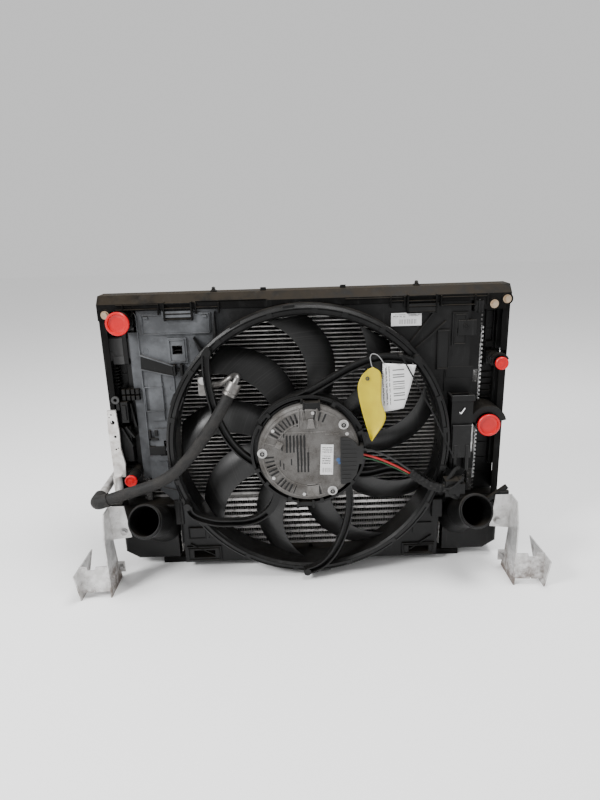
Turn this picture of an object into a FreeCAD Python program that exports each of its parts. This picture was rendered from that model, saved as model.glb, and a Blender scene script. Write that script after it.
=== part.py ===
import FreeCAD, Part
import math
import os
import re
import Sketcher
from FreeCAD import Placement, Rotation, Vector

# Engine cooling pack: radiator, charge-air cooler, condenser and electric fan in one carrier.
# X runs across the pack, Y from the fan side (-Y) to the grille side (+Y), Z up.
# The origin is at mid-width, under the radiator core's mid-thickness, on the standing plane.

doc = FreeCAD.newDocument("cooling_pack")
sheet = doc.addObject("Spreadsheet::Sheet", "Sizes")

SIZES = {
    # radiator
    "core_width": (624, "radiator core, header to header"),
    "core_base": (142, "height of the radiator core's lowest fin row"),
    "core_depth": (32, "thickness of the radiator core"),
    "tube_rows": (47, "number of radiator tubes"),
    "tube_pitch": (8, "tube spacing"),
    "tube_thick": (2, "tube height"),
    "tube_wall": (0.4, "tube wall"),
    "side_plate": (2, "side plate thickness"),
    "side_lip": (3, "side plate lip"),
    "header_sheet": (1.5, "header plate thickness"),
    "header_rim": (10, "header pan depth"),
    "header_depth": (62, "header pan width along Y"),
    "header_over": (4, "header pan past the core, above and below"),
    "tab_width": (4, "crimp tab width"),
    "tab_length": (4, "crimp tab length"),
    "tube_poke": (2, "tube end past the header plate"),
    "gasket_thick": (3, "gasket thickness"),
    "foot_thick": (4, "tank foot thickness"),
    "tank_depth": (54, "tank width along Y"),
    "tank_wall": (2.5, "tank wall"),
    "tank_outer": (362, "tank outer face from mid-width"),
    "seat_gap": (0.3, "clearance between seated pieces"),
    "port_face": (88, "coolant port mouth, towards the fan side"),
    "plug_reach": (12, "depth of a transport plug on its port"),
    "plug_gap": (0.4, "radial clearance of a plug in its port"),
    "plug_flange": (5, "plug rim thickness"),
    # condenser
    "cond_width": (600, "condenser core width"),
    "cond_base": (150, "condenser core bottom"),
    "cond_rows": (37, "number of condenser tubes"),
    "cond_pitch": (10, "condenser tube spacing"),
    "cond_tube": (2, "condenser tube height"),
    "cond_depth": (16, "condenser core thickness"),
    "cond_mid": (52, "condenser mid-plane"),
    "manifold_dia": (20, "condenser manifold diameter"),
    "drier_dia": (30, "receiver drier diameter"),
    # charge-air cooler
    "air_width": (524, "charge-air core width"),
    "air_base": (22, "charge-air core bottom"),
    "air_rows": (9, "number of charge-air tubes"),
    "air_pitch": (12.5, "charge-air tube spacing"),
    "air_tube": (5, "charge-air tube height"),
    "air_depth": (40, "charge-air core thickness"),
    "air_tank_outer": (372, "charge-air tank outer face from mid-width"),
    "air_pipe_dia": (60, "charge-air pipe outer diameter"),
    "air_pipe_wall": (3, "charge-air pipe wall"),
    # carrier
    "pack_half": (364, "carrier half width"),
    "pack_top": (546, "top face of the carrier"),
    "carrier_wall": (2.5, "carrier wall"),
    "side_front": (60, "front lip of the side frames"),
    "side_back": (60, "back edge of the side frames"),
    # fan
    "fan_height": (268, "fan axis height"),
    "cowl_face": (62, "cowl face, towards the fan side"),
    "cowl_wall": (2.5, "cowl wall"),
    "cowl_back": (21, "cowl skirt's back edge"),
    "ring_inner": (241, "throat radius"),
    "ring_outer": (258, "ring flange radius"),
    "ring_face": (103, "ring front face"),
    "tip_gap": (6, "blade tip clearance"),
    "hub_radius": (97, "fan hub radius"),
    "blade_count": (9, "number of blades"),
    "motor_radius": (90, "motor cover radius"),
    "motor_face": (135, "motor cover front face"),
    "seat_radius": (104, "motor seat radius"),
    "arm_face": (118, "front of the spider arms"),
    "arm_back": (105, "back of the spider arms"),
    "rail_flat": (14, "where the top rail starts to fall, on the fan side of the core's middle"),
    "rail_fall": (12, "drop of the top rail from there to its back edge"),
    "arm_width": (13, "width of a spider arm"),
    "shaft_dia": (12, "motor shaft diameter"),
    "screw_circle": (82, "motor screw circle radius"),
    "cover_circle": (77, "cover screw circle radius"),
    "bell_radius": (86, "rotor bell radius"),
    "bell_wall": (2, "rotor bell wall"),
    "magnet_thick": (5.5, "rotor magnet thickness"),
    "air_gap": (1.5, "gap between magnets and stator"),
    "board_radius": (70, "circuit board radius"),
    "core_length": (26, "stator core length"),
    # hose and leads
    "hose_dia": (21, "refrigerant hose diameter"),
    "lead_dia": (4, "motor power lead diameter"),
    "signal_dia": (2.2, "motor signal lead diameter"),
    "conduit_dia": (12, "lead conduit diameter"),
    "line_dia": (16, "refrigerant line diameter"),
    "tie_dia": (1.6, "tag tie diameter"),
    "tag_thick": (0.8, "tag thickness"),
    "peg_dia": (6, "tag peg diameter"),
    # brackets
    "bracket_sheet": (2.5, "bracket sheet thickness"),
    "bracket_plane": (374, "bracket arm from mid-width"),
    "foot_plane": (428, "bracket foot flange from mid-width"),
    "bracket_hole": (9, "bracket hole diameter"),
    "hole_front": (131, "bracket bolt's distance towards the fan side"),
    "hole_height": (32, "bracket bolt height"),
}
for row, (alias, (value, meaning)) in enumerate(SIZES.items(), start=1):
    sheet.set("A%d" % row, meaning)
    sheet.set("B%d" % row, str(value))
    sheet.setAlias("B%d" % row, alias)
doc.recompute()
size = {alias: float(sheet.get(alias)) for alias in SIZES}

NODES = []


def sized(text):
    """The expression with every alias read from the sheet."""
    return re.sub(r"[A-Za-z_]+", lambda word: "Sizes." + word.group() if word.group() in SIZES
                  else word.group(), str(text))


def place(thing, at, turn=None):
    """Bind a thing's place to three expressions."""
    if turn is not None:
        thing.Placement = Placement(Vector(), turn)
    for letter, text in zip("xyz", at):
        thing.setExpression("Placement.Base." + letter, sized(text))


def box(name, low, extent):
    """A box from its low corner and its extent, all as expressions."""
    block = doc.addObject("Part::Box", name)
    for prop, text in zip(("Length", "Width", "Height"), extent):
        block.setExpression(prop, sized(text))
    place(block, low)
    return block


AXIS_TURN = {"X": Rotation(Vector(0, 1, 0), 90), "Y": Rotation(Vector(1, 0, 0), -90), "Z": Rotation()}


def rod(name, start, radius, length, axis):
    """A cylinder from start, running along +X, +Y or +Z."""
    cylinder = doc.addObject("Part::Cylinder", name)
    cylinder.setExpression("Radius", sized(radius))
    cylinder.setExpression("Height", sized(length))
    place(cylinder, start, AXIS_TURN[axis])
    return cylinder


def fuse(name, parts):
    """Several solids joined into one."""
    joined = doc.addObject("Part::MultiFuse", name)
    joined.Shapes = parts
    return joined


def cut(name, base, tool):
    """Base less tool."""
    result = doc.addObject("Part::Cut", name)
    result.Base = base
    result.Tool = tool
    return result


def group(name, parts):
    """Several separate solids under one name."""
    together = doc.addObject("Part::Compound", name)
    together.Links = parts
    return together


def mirrored(name, source):
    """The same thing on the other side of the mid-plane."""
    other = doc.addObject("Part::Mirroring", name)
    other.Source = source
    other.Normal = Vector(1, 0, 0)
    return other


def shaped(name, shape):
    """A solid that is worked out from the sheet's sizes below."""
    feature = doc.addObject("Part::Feature", name)
    feature.Shape = shape
    return feature


def node(thing, label):
    """Name a finished sub-part; the label names its file."""
    thing.Label = label
    NODES.append(thing)
    return thing


def body(name):
    """A PartDesign body that may hold separate solids."""
    made = doc.addObject("PartDesign::Body", name)
    made.AllowCompound = True
    return made


def sketch(owner, name, plane, points, offset="0"):
    """A closed outline on an origin plane of its body, each corner bound to two expressions."""
    drawn = owner.newObject("Sketcher::SketchObject", name)
    base = [item for item in owner.Origin.OriginFeatures if item.Role == plane][0]
    drawn.AttachmentSupport = [(base, "")]
    drawn.MapMode = "FlatFace"
    drawn.setExpression("AttachmentOffset.Base.z", sized(offset))
    corners = [[drawn.evalExpression(sized(text)) for text in pair] for pair in points]
    corners = [Vector(float(x), float(y), 0) for x, y in corners]
    count = len(corners)
    for index, corner in enumerate(corners):
        drawn.addGeometry(Part.LineSegment(corner, corners[(index + 1) % count]))
    for index in range(count):
        drawn.addConstraint(Sketcher.Constraint("Coincident", index, 2, (index + 1) % count, 1))
    for index, pair in enumerate(points):
        for kind, text, value in zip(("DistanceX", "DistanceY"), pair, corners[index]):
            number = drawn.addConstraint(Sketcher.Constraint(kind, -1, 1, index, 1, value))
            if re.search("[A-Za-z]", str(text)):
                drawn.setExpression("Constraints[%d]" % number, sized(text))
    return drawn


def circle(owner, name, plane, centre, radius, offset="0"):
    """A circle on an origin plane of its body, bound to expressions."""
    drawn = owner.newObject("Sketcher::SketchObject", name)
    base = [item for item in owner.Origin.OriginFeatures if item.Role == plane][0]
    drawn.AttachmentSupport = [(base, "")]
    drawn.MapMode = "FlatFace"
    drawn.setExpression("AttachmentOffset.Base.z", sized(offset))
    x, y, r = [float(drawn.evalExpression(sized(text))) for text in (*centre, radius)]
    drawn.addGeometry(Part.Circle(Vector(x, y, 0), Vector(0, 0, 1), r))
    for constraint, text in ((Sketcher.Constraint("DistanceX", -1, 1, 0, 3, x), centre[0]),
                             (Sketcher.Constraint("DistanceY", -1, 1, 0, 3, y), centre[1]),
                             (Sketcher.Constraint("Radius", 0, r), radius)):
        number = drawn.addConstraint(constraint)
        if re.search("[A-Za-z]", str(text)):
            drawn.setExpression("Constraints[%d]" % number, sized(text))
    return drawn


def pad(owner, drawn, length, both=False, back=False):
    """Thicken a sketch; both spreads it to each side, back sends it the other way."""
    feature = owner.newObject("PartDesign::Pad", drawn.Name + "_pad")
    feature.Profile = drawn
    feature.setExpression("Length", sized(length))
    feature.Midplane = both
    feature.Reversed = back
    owner.Tip = feature
    return feature


def pocket(owner, drawn, depth, both=False, back=False):
    """Cut a sketch's outline out of the body, and make sure that it cuts."""
    doc.recompute()
    before = owner.Shape.Volume
    feature = owner.newObject("PartDesign::Pocket", drawn.Name + "_pocket")
    feature.Profile = drawn
    feature.setExpression("Length", sized(depth))
    feature.Midplane = both
    feature.Reversed = back
    owner.Tip = feature
    doc.recompute()
    if owner.Shape.Volume >= before - 0.01:
        raise RuntimeError(drawn.Name + " cuts nothing")
    return feature


def turned(owner, name, points):
    """A ring or disc turned about the body's own Y axis; points are radius and Y."""
    drawn = sketch(owner, name, "XY_Plane", points)
    feature = owner.newObject("PartDesign::Revolution", name + "_turn")
    feature.Profile = drawn
    feature.ReferenceAxis = (drawn, ["V_Axis"])
    feature.Angle = 360
    owner.Tip = feature
    return feature


def stacked(owner, feature, count, span, direction="Z_Axis"):
    """Repeat a feature in a row along a body axis; span is first to last."""
    pattern = owner.newObject("PartDesign::LinearPattern", feature.Name + "_row")
    pattern.Originals = [feature]
    axis = [item for item in owner.Origin.OriginFeatures if item.Role == direction][0]
    pattern.Direction = (axis, [""])
    pattern.setExpression("Length", sized(span))
    pattern.setExpression("Occurrences", sized(count))
    owner.Tip = pattern
    return pattern


def rect(x_low, x_high, y_low, y_high):
    """The four corners of a rectangle."""
    return [(x_low, y_low), (x_high, y_low), (x_high, y_high), (x_low, y_high)]


def on_fan(name):
    """A body whose own Y axis is the fan's axis."""
    made = body(name)
    place(made, ("0", "0", "fan_height"))
    return made


def bored(name, start, radius, bore, length, axis):
    """A plain ring or pipe."""
    outer = rod(name + "_outer", start, radius, length, axis)
    inner = rod(name + "_inner", start, bore, length, axis)
    return cut(name, outer, inner)


# ---------------------------------------------------------------- radiator core
fin_height = "(tube_pitch - tube_thick)"
core_top = "(core_base + tube_rows*tube_pitch + %s)" % fin_height
header_low = "(core_base - header_over)"
header_high = "(%s + header_over)" % core_top
core_half = "(core_width/2)"

tube_low = "core_base + %s" % fin_height
tubes = body("Tubes")
tube = pad(tubes, sketch(tubes, "tube_outline", "YZ_Plane",
                         rect("-core_depth/2", "core_depth/2", tube_low, tube_low + " + tube_thick")),
           "core_width + 2*header_sheet + 2*tube_poke", both=True)
bore = sketch(tubes, "tube_bore", "YZ_Plane",
              rect("-core_depth/2 + tube_wall", "core_depth/2 - tube_wall",
                   tube_low + " + tube_wall", tube_low + " + tube_thick - tube_wall"))
hollow = pocket(tubes, bore, "core_width + 20", both=True)
rows = stacked(tubes, tube, "tube_rows", "(tube_rows - 1)*tube_pitch")
rows.Originals = [tube, hollow]
node(tubes, "radiator_tubes")

fins = body("Fins")
fin = pad(fins, sketch(fins, "fin_outline", "YZ_Plane",
                       rect("-core_depth/2 + 1", "core_depth/2 - 1", "core_base", tube_low)),
          "core_width", both=True)
stacked(fins, fin, "tube_rows + 1", "tube_rows*tube_pitch")
node(fins, "radiator_fins")


def side_plate(name, inner, sign):
    """A channel that closes the core, lips turned away from it."""
    channel = body(name)
    outer = "%s %s side_plate" % (inner, sign)
    lip = "%s %s side_lip" % (outer, sign)
    pad(channel, sketch(channel, name + "_outline", "YZ_Plane",
                        [("-core_depth/2", inner), ("core_depth/2", inner), ("core_depth/2", lip),
                         ("core_depth/2 - side_plate", lip), ("core_depth/2 - side_plate", outer),
                         ("-core_depth/2 + side_plate", outer), ("-core_depth/2 + side_plate", lip),
                         ("-core_depth/2", lip)]), "core_width - 2*seat_gap", both=True)
    return channel


node(group("Side_plates", [side_plate("lower_side", "core_base", "-"),
                           side_plate("upper_side", core_top, "+")]), "radiator_side_plates")

# header pans: a plate with tube slots, and a rim with crimp tabs round the tank foot
header = body("Header")
pad(header, sketch(header, "pan_outline", "YZ_Plane",
                   rect("-header_depth/2", "header_depth/2", header_low, header_high),
                   core_half), "header_rim")
pan_hollow = sketch(header, "pan_hollow", "YZ_Plane",
                    rect("-header_depth/2 + header_sheet", "header_depth/2 - header_sheet",
                         header_low + " + header_sheet", header_high + " - header_sheet"),
                    core_half + " + header_sheet")
pocket(header, pan_hollow, "header_rim", back=True)
slot = pocket(header, sketch(header, "tube_slot", "YZ_Plane",
                             rect("-core_depth/2", "core_depth/2", tube_low,
                                  tube_low + " + tube_thick"), core_half), "header_sheet",
              back=True)
stacked(header, slot, "tube_rows", "(tube_rows - 1)*tube_pitch")
doc.recompute()
tab = pad(header, sketch(header, "tab_outline", "YZ_Plane",
                         rect("-header_depth/2", "-header_depth/2 + header_sheet",
                              "core_base", "core_base + tab_width"),
                         core_half + " + header_rim - 1"), "tab_length + 1")
back_tab = pad(header, sketch(header, "back_tab_outline", "YZ_Plane",
                              rect("header_depth/2 - header_sheet", "header_depth/2",
                                   "core_base", "core_base + tab_width"),
                              core_half + " + header_rim - 1"), "tab_length + 1")
tab_row = stacked(header, tab, "tube_rows + 1", "tube_rows*tube_pitch")
tab_row.Originals = [tab, back_tab]
node(header, "header_right")
node(mirrored("Header_left", header), "header_left")

# gaskets between the header pan and the tank foot
gasket_half = "(header_depth/2 - header_sheet - seat_gap)"
gasket = body("Gasket")
pad(gasket, sketch(gasket, "gasket_outline", "YZ_Plane",
                   rect("-" + gasket_half, gasket_half, header_low + " + header_sheet + seat_gap",
                        header_high + " - header_sheet - seat_gap"),
                   core_half + " + header_sheet"), "gasket_thick")
pocket(gasket, sketch(gasket, "gasket_hollow", "YZ_Plane",
                      rect("-core_depth/2 - 6", "core_depth/2 + 6", "core_base + 2",
                           core_top + " - 2"), core_half + " + header_sheet"),
       "gasket_thick", back=True)
node(group("Gaskets", [gasket, mirrored("Gasket_left", gasket)]), "tank_gaskets")

# tanks: a foot in the pan, a ribbed box, and ports that face the fan side
foot_start = core_half + " + header_sheet + gasket_thick"
PORTS = {
    "upper_left": (-323, 502, 20.5, 15), "lower_left": (-332, 207, 11.2, 7.5),
    "lower_right": (330, 296, 20.5, 15), "upper_right": (346, 411, 11.5, 7.5),
}


def tank(side):
    """One end tank with its two ports; side is right or left."""
    sign = 1 if side == "right" else -1
    inner = "(%s + foot_thick)" % foot_start
    parts = [
        box(side + "_foot", (foot_start, "-" + gasket_half, header_low + " + header_sheet + seat_gap"),
            ("foot_thick", "2*" + gasket_half, "%s - %s - 2*header_sheet - 2*seat_gap"
             % (header_high, header_low))),
        box(side + "_case", (foot_start, "-tank_depth/2", "core_base"),
            ("tank_outer - (%s)" % foot_start, "tank_depth", "%s - core_base" % core_top)),
    ]
    rib_count = 11
    for index in range(rib_count):
        height = "core_base + %d*(%s - core_base)/%d" % (index + 1, core_top, rib_count + 1)
        parts.append(box("%s_rib%d" % (side, index), (inner + " + 1", "-tank_depth/2 - 2.5", height),
                         ("tank_outer - %s - 6" % inner, "tank_depth + 5", "2.2")))
    case = fuse(side + "_tank_case", parts)
    inside = box(side + "_inside", (foot_start + " - 1", "-tank_depth/2 + tank_wall + 3",
                                    "core_base + tank_wall + 1"),
                 ("tank_outer - tank_wall + 1 - (%s)" % foot_start, "tank_depth - 2*tank_wall - 6",
                  "%s - core_base - 2*tank_wall - 2" % core_top))
    shell = cut(side + "_tank_shell", case, inside)
    if sign < 0:
        shell = mirrored("left_tank_shell_side", shell)
    necks, bores = [], []
    for name, (x, z, plug, bore_radius) in PORTS.items():
        if not name.endswith(side):
            continue
        start = "-port_face"
        necks.append(rod(name + "_neck", (x, start, z), bore_radius + 2.5,
                         "port_face - header_depth/2 - 1", "Y"))
        necks.append(rod(name + "_collar", (x, "-header_depth/2 - 26", z), bore_radius + 4.5,
                         "25", "Y"))
        root = x - sign * 4 if abs(x) > 340 else x + sign * 14
        necks.append(box(name + "_root", (root - 9, "-header_depth/2 - 12", z - 12), (18, "18", 24)))
        bores.append(rod(name + "_bore", (x, start, z), bore_radius,
                         "port_face - header_depth/2 - 6", "Y"))
        bores.append(box(name + "_way", (root - 5, "-header_depth/2 - 8", z - 6), (10, "20", 12)))
    whole = fuse(side + "_tank_whole", [shell] + necks)
    return cut(side.title() + "_tank", whole, fuse(side + "_bores", bores))


node(tank("left"), "tank_left")
node(tank("right"), "tank_right")


def plug(name, x, z, radius, bore_radius, dished):
    """A push-in transport plug: a stem in the port, a rim on its mouth, and a dished face."""
    made = body("Transport_plug_" + name)
    place(made, (x, "0", z))
    stem = "%g - plug_gap" % bore_radius
    face = "-port_face - seat_gap - plug_flange"
    rim = "-port_face - seat_gap"
    if dished:
        points = [("0", "-port_face + 1"), ("%s - 2" % stem, "-port_face + 1"),
                  ("%s - 2" % stem, "-port_face + plug_reach"), (stem, "-port_face + plug_reach"),
                  (stem, rim), (radius, rim), (radius, face + " + 1"), (radius - 1, face),
                  (radius - 3.5, face), (radius - 5, rim + " - 1.5"), (radius - 9, rim + " - 0.6"),
                  ("0", rim + " - 0.4")]
    else:
        points = [("0", "-port_face + 1"), ("%s - 2" % stem, "-port_face + 1"),
                  ("%s - 2" % stem, "-port_face + plug_reach"), (stem, "-port_face + plug_reach"),
                  (stem, rim), (radius, rim), (radius, face + " + 1"), (radius - 1, face),
                  (radius - 2.5, face), (radius - 3, face + " + 1.2"), ("4", face + " + 1.2"),
                  ("3.4", face), ("0", face)]
    turned(made, "profile_" + name, points)
    return made


for port, (x, z, radius, bore_radius) in PORTS.items():
    node(plug(port, x, z, radius, bore_radius, radius > 15), "plug_" + port)


def tube_along(points, radius, bore_radius=0.0, bend=None):
    """A round tube of straight runs joined by tangent arcs, with the smallest arc's radius."""
    vectors = [Vector(*point) for point in points]
    edges, start, radii = [], vectors[0], []
    for before, corner, after in zip(vectors, vectors[1:], vectors[2:]):
        run_in, run_out = (before - corner), (after - corner)
        half_turn = (math.pi - run_in.getAngle(run_out)) / 2
        reach = 0.45 * min(run_in.Length, run_out.Length)
        if bend is not None:
            reach = min(reach, bend * math.tan(half_turn))
        toward, away = Vector(run_in).normalize(), Vector(run_out).normalize()
        arc_start, arc_end = corner + toward * reach, corner + away * reach
        arc_radius = reach / math.tan(half_turn)
        radii.append(arc_radius)
        middle = (toward + away).normalize()
        top = corner + middle * (arc_radius / math.cos(half_turn) - arc_radius)
        edges.append(Part.LineSegment(start, arc_start).toShape())
        edges.append(Part.Arc(arc_start, top, arc_end).toShape())
        start = arc_end
    edges.append(Part.LineSegment(start, vectors[-1]).toShape())
    path = Part.Wire(edges)
    way = vectors[1] - vectors[0]
    outline = Part.Wire([Part.Circle(vectors[0], way, radius).toShape()])
    solid = Part.Wire(path).makePipeShell([outline], True, False)
    if bore_radius:
        inner = Part.Wire([Part.Circle(vectors[0], way, bore_radius).toShape()])
        solid = solid.cut(Part.Wire(path).makePipeShell([inner], True, False))
    area = math.pi * (radius ** 2 - bore_radius ** 2)
    print("tube length %.1f, volume ratio %.4f, radii %s" % (
        path.Length, solid.Volume / (area * path.Length), [round(value) for value in radii]))
    return solid


# spring clips that lock the two large ports
collar_radius = {name: port[3] + 4.5 for name, port in PORTS.items()}
clips = []
for name in ("upper_left", "lower_right"):
    x, z = PORTS[name][:2]
    reach = collar_radius[name] + 2.2
    y = -(size["header_depth"] / 2 + 16)
    clips.append(tube_along([(x - reach, y, z - 8), (x - reach, y, z + 8), (x - 9, y, z + reach + 1),
                             (x + 9, y, z + reach + 1), (x + reach, y, z + 8),
                             (x + reach, y, z - 8)], 1.1))
node(shaped("Port_clips", Part.Compound(clips)), "port_spring_clips")

# ---------------------------------------------------------------- condenser
cond_top = "(cond_base + cond_rows*cond_pitch)"
cond_low = "cond_mid - cond_depth/2"
cond_tubes = body("Condenser_tubes")
cond_tube_low = "cond_base + (cond_pitch - cond_tube)/2"
cond_one = pad(cond_tubes, sketch(cond_tubes, "cond_tube_outline", "YZ_Plane",
                                  rect(cond_low, "cond_mid + cond_depth/2", cond_tube_low,
                                       cond_tube_low + " + cond_tube")), "cond_width", both=True)
stacked(cond_tubes, cond_one, "cond_rows", "(cond_rows - 1)*cond_pitch")
node(cond_tubes, "condenser_tubes")

cond_fins = body("Condenser_fins")
cond_fin = pad(cond_fins, sketch(cond_fins, "cond_fin_outline", "YZ_Plane",
                                 rect(cond_low + " + 1", "cond_mid + cond_depth/2 - 1",
                                      cond_tube_low + " + cond_tube",
                                      cond_tube_low + " + cond_pitch")), "cond_width", both=True)
stacked(cond_fins, cond_fin, "cond_rows - 1", "(cond_rows - 2)*cond_pitch")
node(cond_fins, "condenser_fins")

manifold = rod("manifold_rod", ("cond_width/2 + manifold_dia/2", "cond_mid", "cond_base - 6"),
               "manifold_dia/2", "cond_rows*cond_pitch + 12", "Z")
manifold_way = rod("manifold_way", ("cond_width/2 + manifold_dia/2", "cond_mid", "cond_base - 4"),
                   "manifold_dia/2 - 2", "cond_rows*cond_pitch + 8", "Z")
manifold_right = cut("manifold_right", manifold, manifold_way)
node(group("Manifolds", [manifold_right, mirrored("manifold_left", manifold_right)]),
     "condenser_manifolds")

drier_x = "(-cond_width/2 - manifold_dia - drier_dia/2 - 3)"
drier = body("Drier")
place(drier, (drier_x, "cond_mid", "0"))
drier_outline = sketch(drier, "drier_outline", "XZ_Plane",
                       [("0", "180"), ("drier_dia/2 - 4", "180"), ("drier_dia/2", "186"),
                        ("drier_dia/2", "474"), ("drier_dia/2 - 4", "480"), ("9", "480"),
                        ("9", "490"), ("0", "490")])
drier_turn = drier.newObject("PartDesign::Revolution", "drier_turn")
drier_turn.Profile = drier_outline
drier_turn.ReferenceAxis = (drier_outline, ["V_Axis"])
drier.Tip = drier_turn
node(drier, "receiver_drier")

# machined port block with its short pipe, on the left edge of the fan side
block_front = "-side_front - 6"
port_block = body("Port_block")
pad(port_block, sketch(port_block, "block_outline", "XZ_Plane",
                       [("-370", "205"), ("-349", "205"), ("-347", "232"), ("-352", "262"),
                        ("-351", "296"), ("-353", "338"), ("-369", "338"), ("-371", "300")],
                       "side_front + seat_gap"), "5.5")
for index, (x, z, radius) in enumerate(((-362, 330, 1.6), (-366, 325, 1.4), (-361, 315, 4.2),
                                        (-359, 287, 2.6), (-360, 262, 1.8), (-356, 264, 1.2))):
    pocket(port_block, circle(port_block, "block_hole%d" % index, "XZ_Plane", (x, z), radius,
                              "side_front - 1"), "12", back=True)
block_pipe = rod("block_pipe", ("-363", "-side_front - 10", "164"), "8", "46", "Z")
node(fuse("Ac_port_block", [port_block, block_pipe]), "ac_port_block")

# ---------------------------------------------------------------- charge-air cooler
air_half = "(air_width/2)"
air_top = "(air_base + air_rows*air_pitch)"
air_tube_low = "air_base + (air_pitch - air_tube)/2"
air_tubes = body("Air_tubes")
air_one = pad(air_tubes, sketch(air_tubes, "air_tube_outline", "YZ_Plane",
                                rect("-air_depth/2", "air_depth/2", air_tube_low,
                                     air_tube_low + " + air_tube")),
              "air_width + 2*header_sheet + 2*tube_poke", both=True)
air_hollow = pocket(air_tubes, sketch(air_tubes, "air_tube_bore", "YZ_Plane",
                                      rect("-air_depth/2 + tube_wall", "air_depth/2 - tube_wall",
                                           air_tube_low + " + tube_wall",
                                           air_tube_low + " + air_tube - tube_wall")),
                    "air_width + 20", both=True)
air_row = stacked(air_tubes, air_one, "air_rows", "(air_rows - 1)*air_pitch")
air_row.Originals = [air_one, air_hollow]
node(air_tubes, "charge_air_tubes")

air_fins = body("Air_fins")
air_fin = pad(air_fins, sketch(air_fins, "air_fin_outline", "YZ_Plane",
                               rect("-air_depth/2 + 1", "air_depth/2 - 1",
                                    air_tube_low + " + air_tube", air_tube_low + " + air_pitch")),
              "air_width", both=True)
stacked(air_fins, air_fin, "air_rows - 1", "(air_rows - 2)*air_pitch")
node(air_fins, "charge_air_fins")

air_header = body("Air_header")
pad(air_header, sketch(air_header, "air_pan", "YZ_Plane",
                       rect("-air_depth/2 - 6", "air_depth/2 + 6", "air_base - 4", air_top + " + 2"),
                       air_half), "header_sheet")
air_slot = pocket(air_header, sketch(air_header, "air_slot", "YZ_Plane",
                                     rect("-air_depth/2", "air_depth/2", air_tube_low,
                                          air_tube_low + " + air_tube"), air_half),
                  "header_sheet", back=True)
stacked(air_header, air_slot, "air_rows", "(air_rows - 1)*air_pitch")
node(group("Air_headers", [air_header, mirrored("Air_header_left", air_header)]),
     "charge_air_headers")

# charge-air tank: a hollow moulding whose round pipe rises towards the fan side
PIPE_ROOT = Vector(292, -34, 92)
PIPE_MOUTH = Vector(300.5, -145, 152)


def air_tank():
    """The right-hand charge-air tank, as a hollow box with a leaning pipe."""
    inner = size["air_width"] / 2 + size["header_sheet"]
    outer = size["air_tank_outer"]
    half = size["air_depth"] / 2 + 6
    front = half + 24
    low, top = size["air_base"] - 4, size["air_base"] + size["air_rows"] * size["air_pitch"] + 2
    wall = size["air_pipe_wall"]
    radius = size["air_pipe_dia"] / 2
    slope = [Vector(inner, -front, low), Vector(outer - 26, -front, low),
             Vector(outer, -front, low + 16), Vector(outer, -front, top - 8),
             Vector(outer - 8, -front, top), Vector(inner, -front, top), Vector(inner, -front, low)]
    case = Part.Face(Part.makePolygon(slope)).extrude(Vector(0, front + half, 0))
    case = case.makeFillet(6, [edge for edge in case.Edges
                               if abs(edge.BoundBox.YMax + front) < 0.01
                               and edge.BoundBox.XMax > inner + 1])
    way = PIPE_MOUTH - PIPE_ROOT
    along = Vector(way).normalize()
    pipe = Part.makeCylinder(radius, way.Length, PIPE_ROOT, along)
    bead = Part.makeTorus(radius, 2.2, PIPE_MOUTH - along * 5, along)
    root = Part.makeCone(radius + 10, radius, 42, PIPE_ROOT + along * 4, along)
    whole = case.fuse([pipe, bead, root])
    bore = Part.makeCylinder(radius - wall, way.Length + 12, PIPE_ROOT - along * 8, along)
    corner = Vector(inner - 0.01, -front + 2 * wall, low + wall + 9)
    hollow = Part.makeBox(outer - inner - 3 * wall, front + half - 3 * wall,
                          top - low - 2 * wall - 9, corner)
    hollow_low = Part.makeBox(outer - inner - 34, front + half - 3 * wall, 12,
                              corner - Vector(0, 0, 9))
    lug = Part.makeBox(26, front + 54, 30, Vector(outer - 34, -104.5, 104))
    lug_hook = Part.makeBox(20, 16, 34, Vector(outer - 20, -100, 130))
    return whole.fuse([lug, lug_hook]).cut([bore, hollow, hollow_low]).removeSplitter()


right_air = shaped("Air_tank_right", air_tank())
node(right_air, "charge_air_tank_right")
node(mirrored("Air_tank_left", right_air), "charge_air_tank_left")

# ---------------------------------------------------------------- carrier
rail = body("Top_rail")
rail_front = "-cowl_face - 3"
pad(rail, sketch(rail, "rail_outline", "YZ_Plane",
                 [(rail_front, "pack_top - 26"), (rail_front, "pack_top - 14"),
                  (rail_front + " + 13", "pack_top"), ("-rail_flat", "pack_top"),
                  ("side_back", "pack_top - rail_fall"),
                  ("side_back", "pack_top - 18"), ("side_back - carrier_wall", "pack_top - 18"),
                  ("side_back - carrier_wall", "pack_top - rail_fall - carrier_wall"),
                  ("-rail_flat", "pack_top - carrier_wall"),
                  (rail_front + " + 14", "pack_top - carrier_wall"),
                  (rail_front + " + carrier_wall", "pack_top - 15"),
                  (rail_front + " + carrier_wall", "pack_top - 26")]), "2*pack_half", both=True)
rail_parts = [rail]
for index, x in enumerate((-72, 70)):
    rail_parts.append(box("rail_tab%d" % index, (x - 5, "-40", "pack_top - 1"), (10, "3", "6")))
for index, x in enumerate((-354, 324, 346)):
    rail_parts.append(box("rail_ear%d" % index, (x - 10, rail_front, "pack_top - 42"),
                          (20, "carrier_wall", "20")))
ring_room = rod("ring_room", ("0", rail_front + " - 1", "fan_height"), "ring_outer + 1.5",
                "carrier_wall + 2", "Y")
node(cut("Top_rail_whole", fuse("rail_solid", rail_parts), ring_room), "top_rail")


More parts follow.
